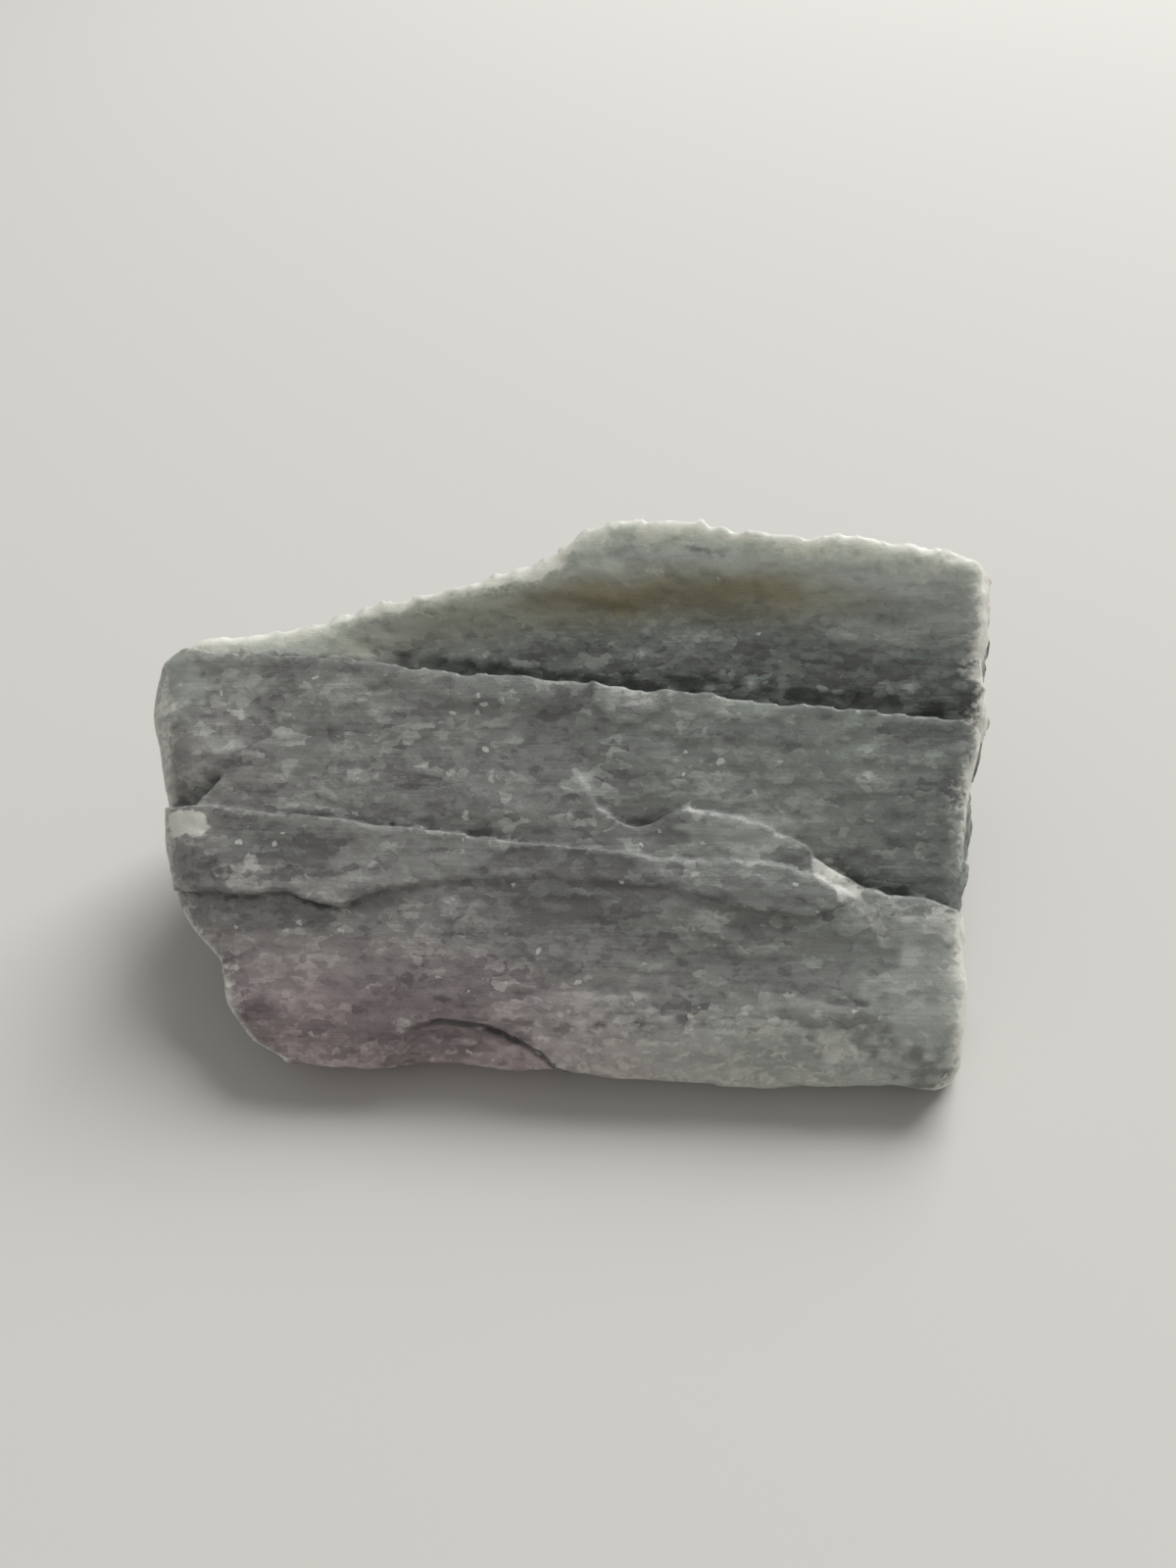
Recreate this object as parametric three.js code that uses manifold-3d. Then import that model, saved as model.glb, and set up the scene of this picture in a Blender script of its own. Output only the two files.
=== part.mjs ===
// Raw aventurine: one broken lump of green quartzite, lying on its flat underside.
//
// Millimetres, +Z up. X runs along the layers of the stone. The broad layered face slopes up and
// back from a low nose at -Y to a thin ragged rim, and a steep broken back drops from that rim.
// The origin is under the middle of the stone's box, on the surface that the stone rests on.
//
// The broad face has its own coordinates: u along X, v up the slope and w out of the face. The
// layers of the stone lie parallel to it, so a layer is a range of w.

import * as THREE from "three";
import { mergeVertices } from "three/addons/utils/BufferGeometryUtils.js";
import Module from "manifold-3d";

// ---------------------------------------------------------------- driving sizes

const FACE_ANGLE = THREE.MathUtils.degToRad(35); // broad face above the horizontal
const FACE_START = 13; // height of the plane of the face at v = 0
const BED = 6.5; // thickness of the layers that show on the back and the ends

// Outlines on the face as [u, v] points, each read as a ragged line between its points.
const RIM = [
  [-60, 49], [-50, 51.8], [-37, 53.4], [-28, 57.4], [-20, 58], [-12.5, 59.6], [-7.5, 61.5],
  [-2, 64.2], [4.5, 68.2], [9, 69], [17, 68.7], [24, 67], [33, 65.6], [44, 65.1], [51, 63.7],
  [58, 61.7],
]; // the thin upper rim
const CREASE = [
  [-60, 49.8], [-49, 48.9], [-31, 47.6], [-23, 47.1], [-20.5, 46], [-6, 44.8], [7, 43.4],
  [11.5, 42.2], [18, 42.6], [27, 41.2], [43, 39.8], [58, 37.8],
]; // upper edge of the front slab
const SCARP = [
  [-60, -70], [0.5, -70], [1, 35], [4, 31.5], [5.4, 29.7], [6.8, 27.1], [9.4, 25.2], [12, 23.9],
  [14.5, 25], [16.4, 26.3], [18.3, 26.5], [21, 26.3], [24.6, 25.6], [27.7, 24.8], [31, 23.6],
  [33.2, 22.4], [34.5, 20.6], [38.4, 18.4], [41, 16.9], [48, 15.6], [58, 12.6],
]; // upper edge of the plate that stands below the hollow of the front slab
const LEDGE = [
  [-60, 27], [-50, 26.4], [-46, 26.6], [-38.8, 25.5], [-27.7, 24.7], [-14, 23.5], [-4, 22.2],
  [5.7, 21.3], [11, 20.7], [24.6, 19.7], [31, 19.5], [36, 17.5], [42, 14], [48, 11.5], [58, 9.5],
]; // upper edge of the lower slab
const FLAKE = [
  [-60, 15.4], [-47, 14.9], [-39.8, 14.5], [-34.4, 14.9], [-30.2, 13.7], [-26.2, 13.3],
  [-23.6, 14.7], [-19.7, 15.6], [-12, 16.8], [2, 17.4], [16, 16.2], [24, 14.4], [29, 13.3],
  [34, 13], [38, 14.2], [42, 17.2],
]; // lower edge of the flake that lies on the lower slab

// Ends of the stone as [v, u] points.
const LEFT_END = [
  [-12, -33], [-6.5, -35.5], [-4.5, -39.4], [-2, -41], [0, -42.4], [3, -43.2], [6, -44.2],
  [7.6, -46], [10, -48.8], [13, -51.4], [18, -53], [21, -54], [26, -54.6], [31, -56],
  [36, -57.2], [39, -58.3], [42, -58.6], [45, -58.3], [47.5, -57.6], [50, -56], [60, -54],
]; // worn round
const RIGHT_END = [
  [-10, 45.5], [-8, 48], [-6.5, 50], [-4.8, 51.2], [0, 52.2], [4.5, 53], [9, 52.7], [13, 52.6],
  [19, 53.1], [30, 53.9], [33, 54.7], [38, 55.8], [41, 57.1], [50, 57.7], [54, 58], [60, 57.3],
  [70, 56.3],
]; // broken square
const NOSE = [
  [0, -2], [2, 0.6], [4, 2.5], [6, 4.1], [8, 5.2], [11, 4.8], [14, 3],
]; // [z, reach towards -Y], undercut below
const NOSE_SWELL = [[-60, 0], [2, 0], [12, 0.6], [32, 0.7], [42, 0]]; // [u, further reach]

// How far each layer of the face stands, as [u, millimetres] points.
const CREASE_DEPTH = [[-60, 1.5], [-48, 3], [-34, 5], [-18, 8], [5, 9.5], [58, 9]];
const SCARP_DEPTH = [
  [-8, 0], [1, 0.1], [5.5, 0.6], [12, 1.3], [18, 1], [24, 1.3], [33, 2.1], [42, 3], [58, 3.4],
];
const SCARP_REACH = [[0, 5], [14, 5.5], [24, 9], [40, 13]]; // where its hollow fades out above it
const LEDGE_STEP = [
  [-60, 1], [-44, 0.5], [-38, 0.45], [-10, 0.5], [10, 0.35], [28, 0.3], [34, 0.05], [36, 0],
];
const FLAKE_STEP = [
  [-60, 1], [-46, 1.5], [-22, 1.6], [-9, 0.3], [19, 0.3], [27, 1.2], [37, 0.9], [42, 0.1],
];
const LEDGE_SETTLE = 0.6; // share of the ledge's step that is lost towards the nose
const RIM_DEPTH = 3.5; // rim below the plane of the face
const BACK_BULGE = 5; // how far the back stands out behind the rim

// Hollows in the face: centre, reach along u and v, depth, and share of the reach that is wall.
const NOTCH = { u: -50.5, v: 30.2, along: 7, across: 3.8, depth: 1.8, wall: 0.35 };
const CHIP = { u: -9, v: -12, along: 12.5, across: 11.4, depth: 1.7, wall: 0.2 };

// Rounding of the face's edges: how far in it starts and how far the edge drops.
const ROUND_LEFT = { reach: 7, drop: 3.5 };
const ROUND_RIGHT = { reach: 2.5, drop: 1.3 };
const ROUND_NOSE = { from: 3, reach: 10, drop: 3.2 };

// Unevenness: wavelength along and across, and height.
const FACE_LUMPS = [
  { along: 15, across: 7, size: 0.45, seed: 11 },
  { along: 8, across: 2.7, size: 0.22, seed: 12 },
];
const FACE_STEPS = { along: 11, across: 4.2, size: 0.45, edge: 0.12, seed: 13 };
const BACK_LUMPS = [
  { along: 19, across: 12, size: 1.5, seed: 22 },
  { along: 8, across: 4.5, size: 0.7, seed: 23 },
];
const RIGHT_LUMPS = [
  { along: 13, across: 9, size: 1, seed: 31 },
  { along: 5, across: 4, size: 0.45, seed: 32 },
];
const LEFT_LUMPS = [
  { along: 14, across: 10, size: 1.5, seed: 41 },
  { along: 6, across: 4, size: 0.6, seed: 42 },
];
const NOSE_LUMPS = [
  { along: 13, across: 7, size: 0.7, seed: 52 },
  { along: 4.5, across: 4, size: 0.35, seed: 53 },
];
const BED_STEP = { along: 16, wander: 0.35, size: 1.3, edge: 0.18, seed: 81 };

const REACH = 80; // how far the cutting blocks run past the stone
const FACE_CELL = 2.4;
const SIDE_CELL = 3.2;
const LINE_STEP = 2;
const SHAKE = 0.24; // share of a cell by which grid points are moved, so that facets don't line up

// ---------------------------------------------------------------- noise and lines

// A repeatable random number from -1 to 1 for a point of the integer grid.
function lattice(i, j, seed) {
  let h = Math.imul(i, 374761393) + Math.imul(j, 668265263) + Math.imul(seed, 1442695041);
  h = Math.imul(h ^ (h >>> 13), 1274126177);
  h = (h ^ (h >>> 16)) >>> 0;
  return h / 2147483647.5 - 1;
}

const ease = (t) => t * t * (3 - 2 * t);
const smooth = (from, to, x) => ease(THREE.MathUtils.clamp((x - from) / (to - from), 0, 1));

// Smooth noise from -1 to 1, with lumps about one unit across.
function noise(x, y, seed) {
  const i = Math.floor(x);
  const j = Math.floor(y);
  const s = ease(x - i);
  const t = ease(y - j);
  const near = THREE.MathUtils.lerp(lattice(i, j, seed), lattice(i + 1, j, seed), s);
  const far = THREE.MathUtils.lerp(lattice(i, j + 1, seed), lattice(i + 1, j + 1, seed), s);
  return THREE.MathUtils.lerp(near, far, t);
}

function unevenness(lumps, x, y) {
  return lumps.reduce(
    (sum, lump) => sum + lump.size * noise(x / lump.along, y / lump.across, lump.seed),
    0,
  );
}

// The value at x of the line through [x, value] points.
function along(line, x) {
  if (x <= line[0][0]) return line[0][1];
  const next = line.findIndex((point) => point[0] > x);
  if (next < 0) return line[line.length - 1][1];
  const [x0, y0] = line[next - 1];
  const [x1, y1] = line[next];
  return y0 + ((y1 - y0) * (x - x0)) / (x1 - x0);
}

// The same line with the raggedness of a broken edge.
function ragged(line, x, size, seed) {
  const coarse = noise(x / 3.1, 0.5, seed);
  const fine = noise(x / 1.3, 0.5, seed + 1);
  return along(line, x) + size * (coarse + 0.5 * fine);
}

// ---------------------------------------------------------------- the broad face

const rounding = (edge, inside) => (edge.drop * Math.max(0, edge.reach - inside) ** 2) / edge.reach ** 2;

function hollow(shape, u, v) {
  const distance = Math.hypot((u - shape.u) / shape.along, (v - shape.v) / shape.across);
  return shape.depth * smooth(1, 1 - shape.wall, distance);
}

// Lumps and shallow steps drawn out along the layers, the rounding of the face's own edges, and
// the scar of a chip at the nose.
function relief(u, v) {
  const step = noise(u / FACE_STEPS.along, v / FACE_STEPS.across, FACE_STEPS.seed);
  const steps = FACE_STEPS.size * smooth(-FACE_STEPS.edge, FACE_STEPS.edge, step);
  const left = rounding(ROUND_LEFT, u - along(LEFT_END, v));
  const right = rounding(ROUND_RIGHT, along(RIGHT_END, v) - u);
  const nose = rounding(ROUND_NOSE, v - ROUND_NOSE.from + ROUND_NOSE.reach);
  return unevenness(FACE_LUMPS, u, v) + steps - left - right - nose - hollow(CHIP, u, v);
}

// The sheet behind the crease: deepest in the crease, curving up to the rim.
function backSheet(u, v) {
  const crease = along(CREASE, u);
  const rise = THREE.MathUtils.clamp((v - crease) / (along(RIM, u) - crease), 0, 1);
  const depth = along(CREASE_DEPTH, u);
  const lift = Math.max(0, depth - RIM_DEPTH) * rise ** 1.4;
  return relief(u, v) - depth + lift;
}

// The front slab, with the hollow above the scarp and a notch at the left end.
function frontSlab(u, v) {
  const above = Math.max(0, v - along(SCARP, u)) / along(SCARP_REACH, u);
  const hollowed = along(SCARP_DEPTH, u) * Math.exp(-above * above);
  return relief(u, v) - hollowed - hollow(NOTCH, u, v);
}

// The lower slab, which stands out below the ledge.
function lowerSlab(u, v) {
  const settled = 1 - LEDGE_SETTLE * smooth(2, 22, along(LEDGE, u) - v);
  return relief(u, v) + along(LEDGE_STEP, u) * settled;
}

// The flake that lies on the lower slab, just under the ledge.
const flake = (u, v) => lowerSlab(u, v) + along(FLAKE_STEP, u);

// ---------------------------------------------------------------- the other sides

const faceV = (y, z) => y * Math.cos(FACE_ANGLE) + (z - FACE_START) * Math.sin(FACE_ANGLE);
const faceW = (y, z) => (z - FACE_START) * Math.cos(FACE_ANGLE) - y * Math.sin(FACE_ANGLE);

// The layers broke off at slightly different places, which leaves shallow ledges.
function beds(side, w) {
  const place = w / BED + BED_STEP.wander * noise(side / BED_STEP.along, 0.5, BED_STEP.seed);
  const bed = Math.floor(place);
  const blend = smooth(1 - BED_STEP.edge, 1, place - bed);
  const here = lattice(bed, 0, BED_STEP.seed + 1);
  const next = lattice(bed + 1, 0, BED_STEP.seed + 1);
  return BED_STEP.size * THREE.MathUtils.lerp(here, next, blend);
}

// How far back the stone reaches at x and z: a bulging break that starts at the rim.
function back(x, z) {
  const v = ragged(RIM, x, 0.5, 21);
  const rimY = v * Math.cos(FACE_ANGLE) + RIM_DEPTH * Math.sin(FACE_ANGLE);
  const rimZ = FACE_START + v * Math.sin(FACE_ANGLE) - RIM_DEPTH * Math.cos(FACE_ANGLE);
  const down = THREE.MathUtils.clamp((rimZ - z) / rimZ, -0.2, 1);
  const bulge = BACK_BULGE * Math.sin(down * 2.2);
  const rough = unevenness(BACK_LUMPS, x, z) + beds(x, faceW(rimY, z));
  return rimY + bulge + rough * smooth(0, 0.25, down);
}

// The ends, measured outwards. They follow the outline of the face and roughen below it.
function rightEnd(y, z) {
  const w = faceW(y, z);
  const rough = unevenness(RIGHT_LUMPS, y, z) + beds(y, w);
  return along(RIGHT_END, faceV(y, z)) - 0.04 * w + rough * smooth(-2, -12, w);
}

function leftEnd(y, z) {
  const w = faceW(y, z);
  const taper = 0.13 * Math.max(0, -4 - w);
  const rough = unevenness(LEFT_LUMPS, y, z) + beds(y, w);
  return -along(LEFT_END, faceV(y, z)) - taper + rough * smooth(-3, -14, w);
}

const nose = (x, z) => along(NOSE, z) + along(NOSE_SWELL, x) + unevenness(NOSE_LUMPS, x, z);

// ---------------------------------------------------------------- solids

const wasm = await Module();
wasm.setup();

function solid(geometry) {
  geometry.deleteAttribute("normal");
  geometry.deleteAttribute("uv");
  const welded = mergeVertices(geometry, 1e-4);
  const vertProperties = welded.attributes.position.array;
  const triVerts = new Uint32Array(welded.index.array);
  return new wasm.Manifold(new wasm.Mesh({ numProp: 3, vertProperties, triVerts }));
}

// Where a block's own axes lie: two along its surface and one out of it.
function axes(across, up, out, height = 0) {
  return new THREE.Matrix4()
    .makeBasis(new THREE.Vector3(...across), new THREE.Vector3(...up), new THREE.Vector3(...out))
    .setPosition(0, 0, height);
}

const FACE = axes(
  [1, 0, 0],
  [0, Math.cos(FACE_ANGLE), Math.sin(FACE_ANGLE)],
  [0, -Math.sin(FACE_ANGLE), Math.cos(FACE_ANGLE)],
  FACE_START,
);
const TO_FRONT = axes([1, 0, 0], [0, 0, 1], [0, -1, 0]);
const TO_BACK = axes([-1, 0, 0], [0, 0, 1], [0, 1, 0]);
const TO_RIGHT = axes([0, 1, 0], [0, 0, 1], [1, 0, 0]);
const TO_LEFT = axes([0, -1, 0], [0, 0, 1], [-1, 0, 0]);

// A block whose outer side, its local +Z, is the rough surface height(x, y).
function roughBlock([x0, x1], [y0, y1], cell, height, place) {
  const columns = Math.round((x1 - x0) / cell);
  const rows = Math.round((y1 - y0) / cell);
  const block = new THREE.BoxGeometry(x1 - x0, y1 - y0, REACH, columns, rows, 1);
  block.translate((x0 + x1) / 2, (y0 + y1) / 2, -REACH / 2);
  const points = block.attributes.position;
  for (let n = 0; n < points.count; n += 1) {
    if (points.getZ(n) > -REACH / 2) {
      const column = Math.round((points.getX(n) - x0) / cell);
      const row = Math.round((points.getY(n) - y0) / cell);
      const x = points.getX(n) + SHAKE * cell * lattice(column, row, 61);
      const y = points.getY(n) + SHAKE * cell * lattice(column, row, 62);
      points.setXYZ(n, x, y, height(x, y));
    }
  }
  block.applyMatrix4(place);
  return solid(block);
}

// A prism through the face that holds everything below a ragged line.
function belowLine(line, size, seed) {
  const [start] = line[0];
  const [end] = line[line.length - 1];
  const shape = new THREE.Shape();
  shape.moveTo(-REACH, -REACH);
  shape.lineTo(REACH, -REACH);
  shape.lineTo(REACH, along(line, REACH));
  for (let u = end; u >= start; u -= LINE_STEP) {
    shape.lineTo(u, ragged(line, u, size, seed));
  }
  shape.lineTo(-REACH, along(line, -REACH));
  const prism = new THREE.ExtrudeGeometry(shape, { depth: 2 * REACH, bevelEnabled: false });
  prism.translate(0, 0, -REACH);
  prism.applyMatrix4(FACE);
  return solid(prism);
}

// The layers of the face, each cut off along its own edge and joined into one rough wedge.
function buildLayers() {
  const layer = (height) => roughBlock([-66, 66], [-16, 76], FACE_CELL, height, FACE);
  const belowCrease = belowLine(CREASE, 0.7, 71);
  const belowScarp = belowLine(SCARP, 0.5, 74);
  const belowLedge = belowLine(LEDGE, 0.4, 72);
  const belowFlake = belowLine(FLAKE, 0.6, 73);
  const slab = layer(frontSlab).intersect(belowCrease);
  const plate = layer(relief).intersect(belowScarp);
  const lower = layer(lowerSlab).intersect(belowLedge);
  const cover = layer(flake).intersect(belowLedge).subtract(belowFlake);
  return layer(backSheet).add(slab).add(plate).add(lower).add(cover);
}

function buildStone() {
  const widths = [-66, 66];
  const heights = [-8, 64];
  const cuts = [
    roughBlock(widths, heights, SIDE_CELL, nose, TO_FRONT),
    roughBlock(widths, heights, SIDE_CELL, (x, z) => back(-x, z), TO_BACK),
    roughBlock([-16, 76], heights, SIDE_CELL, rightEnd, TO_RIGHT),
    roughBlock([-76, 16], heights, SIDE_CELL, (y, z) => leftEnd(-y, z), TO_LEFT),
    solid(new THREE.BoxGeometry(2 * REACH, 2 * REACH, REACH).translate(0, 0, REACH / 2)),
  ];
  return cuts.reduce((stone, cut) => stone.intersect(cut), buildLayers());
}

// The finished solid as one mesh, moved so that the middle of its box stands over the origin.
function stoneMesh() {
  const { vertProperties, triVerts } = buildStone().getMesh();
  const geometry = new THREE.BufferGeometry();
  geometry.setAttribute("position", new THREE.BufferAttribute(vertProperties, 3));
  geometry.setIndex(new THREE.BufferAttribute(triVerts, 1));
  geometry.computeBoundingBox();
  const middle = geometry.boundingBox.getCenter(new THREE.Vector3());
  geometry.translate(-middle.x, -middle.y, 0);
  geometry.computeVertexNormals();
  const quartzite = new THREE.MeshStandardMaterial({ color: 0x8b9088, roughness: 0.7, metalness: 0 });
  const mesh = new THREE.Mesh(geometry, quartzite);
  mesh.name = "raw_aventurine";
  return mesh;
}

const part = new THREE.Group();
part.add(stoneMesh());

export default part;
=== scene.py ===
"""Raw aventurine: the fine surface and finish of one broken lump of green quartzite, and its studio.

The stone is worked out in millimetres in the coordinates of its broad face: u runs along the
layers, v up the slope of the face and w out of it. The finished mesh is in metres, in the frame's
own axes. The big forms are those of the solid in the frame. The fine ones are added here: the
striae and flakes of the split layers, the grains, and the crumbled edges.
"""

import functools
import math

import bmesh
import bpy
import numpy as np
import openvdb
from bpy.props import FloatProperty, FloatVectorProperty, PointerProperty
from mathutils import Matrix, Vector


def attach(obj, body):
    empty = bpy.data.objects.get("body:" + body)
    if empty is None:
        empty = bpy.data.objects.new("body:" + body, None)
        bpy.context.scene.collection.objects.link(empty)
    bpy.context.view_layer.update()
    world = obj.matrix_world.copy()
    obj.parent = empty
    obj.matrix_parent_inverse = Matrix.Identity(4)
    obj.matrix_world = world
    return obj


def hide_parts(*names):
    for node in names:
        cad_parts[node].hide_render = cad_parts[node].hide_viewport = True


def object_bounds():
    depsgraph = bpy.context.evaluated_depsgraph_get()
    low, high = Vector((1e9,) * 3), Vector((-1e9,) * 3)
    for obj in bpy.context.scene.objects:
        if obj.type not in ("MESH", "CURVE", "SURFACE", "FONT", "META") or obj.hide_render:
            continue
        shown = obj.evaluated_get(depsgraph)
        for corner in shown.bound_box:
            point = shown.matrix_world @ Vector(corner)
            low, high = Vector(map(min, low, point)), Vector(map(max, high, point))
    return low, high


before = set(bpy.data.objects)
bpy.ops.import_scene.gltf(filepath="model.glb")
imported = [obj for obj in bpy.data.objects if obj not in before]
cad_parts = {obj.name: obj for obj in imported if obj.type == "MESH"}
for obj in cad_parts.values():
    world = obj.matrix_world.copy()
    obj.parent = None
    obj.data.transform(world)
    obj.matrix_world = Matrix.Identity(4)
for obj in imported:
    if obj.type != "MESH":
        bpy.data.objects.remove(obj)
CAD_LOW, CAD_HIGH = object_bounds()

bl_info = {
    "name": "Raw aventurine",
    "version": (1, 0, 0),
    "blender": (4, 5, 0),
    "location": "View3D > Sidebar > Aventurine",
    "description": "Builds a rough lump of aventurine quartzite and its studio",
    "category": "Add Mesh",
}

NODE = "raw_aventurine"
MM = 0.001

# ---------------------------------------------------------------- form, in millimetres

FACE_ANGLE = math.radians(35)  # broad face above the horizontal
FACE_START = 13.0  # height of the plane of the face at v = 0
FACE_ORIGIN = (-0.688, -30.012)  # where u = 0, y = 0 of the face lies in the frame
BED = 6.5  # thickness of the layers that show on the back and the ends

# Outlines on the face, as (u, v) points.
RIM = (
    (-60, 49), (-50, 51.8), (-37, 53.4), (-28, 57.4), (-20, 58), (-12.5, 59.6), (-7.5, 61.5),
    (-2, 64.2), (4.5, 68.2), (9, 69), (17, 68.7), (24, 67), (33, 65.6), (44, 65.1), (51, 63.7),
    (58, 61.7),
)
CREASE = (
    (-60, 49.8), (-49, 48.9), (-31, 47.6), (-23, 47.1), (-20.5, 46), (-6, 44.8), (7, 43.4),
    (11.5, 42.2), (18, 42.6), (27, 41.2), (43, 39.8), (58, 37.8),
)
SCARP = (
    (-60, -70), (0.5, -70), (1, 35), (4, 31.5), (5.4, 29.7), (6.8, 27.1), (9.4, 25.2), (12, 23.9),
    (14.5, 25), (16.4, 26.3), (18.3, 26.5), (21, 26.3), (24.6, 25.6), (27.7, 24.8), (31, 23.6),
    (33.2, 22.4), (34.5, 20.6), (38.4, 18.4), (41, 16.9), (48, 15.6), (58, 12.6),
)
LEDGE = (
    (-60, 27), (-50, 26.4), (-46, 26.6), (-38.8, 25.5), (-27.7, 24.7), (-14, 23.5), (-4, 22.2),
    (5.7, 21.3), (11, 20.7), (24.6, 19.7), (31, 19.5), (36, 17.5), (42, 14), (48, 11.5), (58, 9.5),
)
FLAKE = (
    (-60, 15.4), (-47, 14.9), (-39.8, 14.5), (-34.4, 14.9), (-30.2, 13.7), (-26.2, 13.3),
    (-23.6, 14.7), (-19.7, 15.6), (-12, 16.8), (2, 17.4), (16, 16.2), (24, 14.4), (29, 13.3),
    (34, 13), (38, 14.2), (42, 17.2),
)

# How ragged each of these edges is: its line, how far it wavers, and a seed.
RIM_EDGE = (RIM, 0.4, 21)
CREASE_EDGE = (CREASE, 0.33, 71)
SCARP_EDGE = (SCARP, 0.3, 75)
LEDGE_EDGE = (LEDGE, 0.25, 72)
FLAKE_EDGE = (FLAKE, 0.22, 76)

# Ends of the stone, as (v, u) points, and its nose, as (height, reach) and (u, further reach).
LEFT_END = (
    (-12, -33), (-6.5, -35.5), (-4.5, -39.4), (-2, -41), (0, -42.4), (3, -43.2), (6, -44.2),
    (7.6, -46), (10, -48.8), (13, -51.4), (18, -53), (21, -54), (26, -54.6), (31, -56),
    (36, -57.2), (39, -58.3), (42, -58.6), (45, -58.3), (47.5, -57.6), (50, -56), (60, -54),
)
RIGHT_END = (
    (-10, 46.5), (-8.2, 49.2), (-6.5, 51), (-4.8, 51.9), (0, 52.4), (4.5, 53), (9, 52.7), (13, 52.6),
    (19, 53.1), (30, 53.9), (33, 54.7), (38, 55.8), (41, 57.1), (50, 57.7), (54, 58), (60, 57.3),
    (70, 56.3),
)
NOSE = ((0, -2), (2, 0.6), (4, 2.5), (6, 4.1), (8, 5.2), (11, 4.8), (14, 3))
NOSE_SWELL = ((-60, 0), (2, 0), (12, 0.6), (32, 0.7), (42, 0))

# How far each layer of the face lies below the plane of the face, or stands out from it, as
# (u, millimetres) points.
CREASE_DEPTH = ((-60, 1.5), (-48, 3), (-34, 5), (-18, 8), (5, 9.5), (58, 9))
SCARP_DEPTH = (
    (-8, 0), (2, 0.05), (5.5, 0.35), (8, 0.7), (12, 1.4), (18, 1), (24, 1.3), (33, 2.1), (42, 3),
    (58, 3.4),
)
SCARP_REACH = ((0, 5), (14, 5.5), (24, 9), (40, 13))  # how far above the scarp its hollow fades
# Grooves right along the scarp and the ledge, and how far from them they fade.
SCARP_GROOVE = ((8, 0), (12, 0.5), (16, 0.1), (28, 0.2), (38, 1.1), (46, 1), (52, 0.3))
LEDGE_GROOVE = ((-48, 0), (-40, 0.35), (-5, 0.3), (12, 0.15), (32, 0.2), (36, 0))
GROOVE_REACH = 1.2
LEDGE_STEP = (
    (-60, 0.2), (-52, 0.3), (-44, 0.5), (-38, 0.45), (-10, 0.5), (10, 0.35), (28, 0.3), (34, 0.05),
    (36, 0),
)
FLAKE_STEP = (
    (-60, 0.9), (-46, 1.1), (-34, 1.4), (-24, 1.4), (-9, 0.3), (19, 0.3), (27, 1.2), (37, 0.9),
    (42, 0.1),
)
LEDGE_SETTLE = 0.6  # share of the step that the lower slab loses further down
RIM_DEPTH = 3.5  # of the sheet behind the crease, at its rim
# Where the sheet starts to fall away to the broken edge of its rim, as (u, v), and how steeply.
BEVEL = (
    (-60, 50.4), (-44, 51.4), (-34, 53.2), (-30.6, 53.8), (-24, 55.4), (-20.6, 56), (-17.3, 57.2),
    (-13.3, 58.1), (-6.3, 59.2), (-2.7, 59.8), (0.8, 61.9), (3, 65.7), (9, 67.4), (17, 67.2),
    (24, 65.6), (33, 64.4), (44, 63.2), (51, 61.4), (58, 59),
)
BEVEL_SLOPE = 0.38
BEVEL_WAVER = (1.7, 0.5, 63)  # wavelength, width and seed
BACK_BULGE = 5.0  # how far the back bulges past the rim
CREASE_UNDERCUT = 0.45  # how far the gap of the crease reaches under the slab, per mm of depth

# The notch at the left end, as (u, lower v, upper v).
NOTCH = ((-60, 27, 33), (-53, 26.6, 31.8), (-49, 26.9, 31.4), (-46.4, 29.6, 31), (-45.4, 30.6, 30.8))
NOTCH_DEPTH = 1.9
# Hollows: centre u and v, reach along and across, depth, and share of the reach that is wall.
CHIP = (-9, -12, 12.5, 11.4, 1.4, 0.08)
PLATE = (10.6, 43.3, 5.4, 6.2, 0.45, 0.08)  # a thin plate left standing on the slab's edge

# Rounding of the face's edges: how far in it starts and how far the edge drops.
ROUND_LEFT = (7, 3.5)
ROUND_RIGHT = (2.5, 1.3)
ROUND_NOSE = (10, 3.2)
ROUND_NOSE_FROM = 3  # the v below which the face rounds down to the nose

# Unevenness, as (wavelength along, wavelength across, height, seed).
FACE_LUMPS = ((15, 7, 0.4, 11), (8, 3.2, 0.14, 12))
FACE_STEPS = (11, 4.2, 0.2, 13)
STEP_EDGE = 0.12  # how much of their noise the edge of a step takes up
BACK_LUMPS = ((19, 12, 1.5, 22), (8, 4.5, 0.7, 23))
RIGHT_LUMPS = ((13, 9, 1.0, 31), (5, 4, 0.45, 32))
LEFT_LUMPS = ((14, 10, 1.5, 41), (6, 4, 0.6, 42))
NOSE_LUMPS = ((13, 7, 0.7, 52), (4.5, 4, 0.35, 53))
BED_STEP = (16, 0.35, 1.3, 0.18, 81)  # wavelength, wander, height, width of the edge, seed

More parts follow.
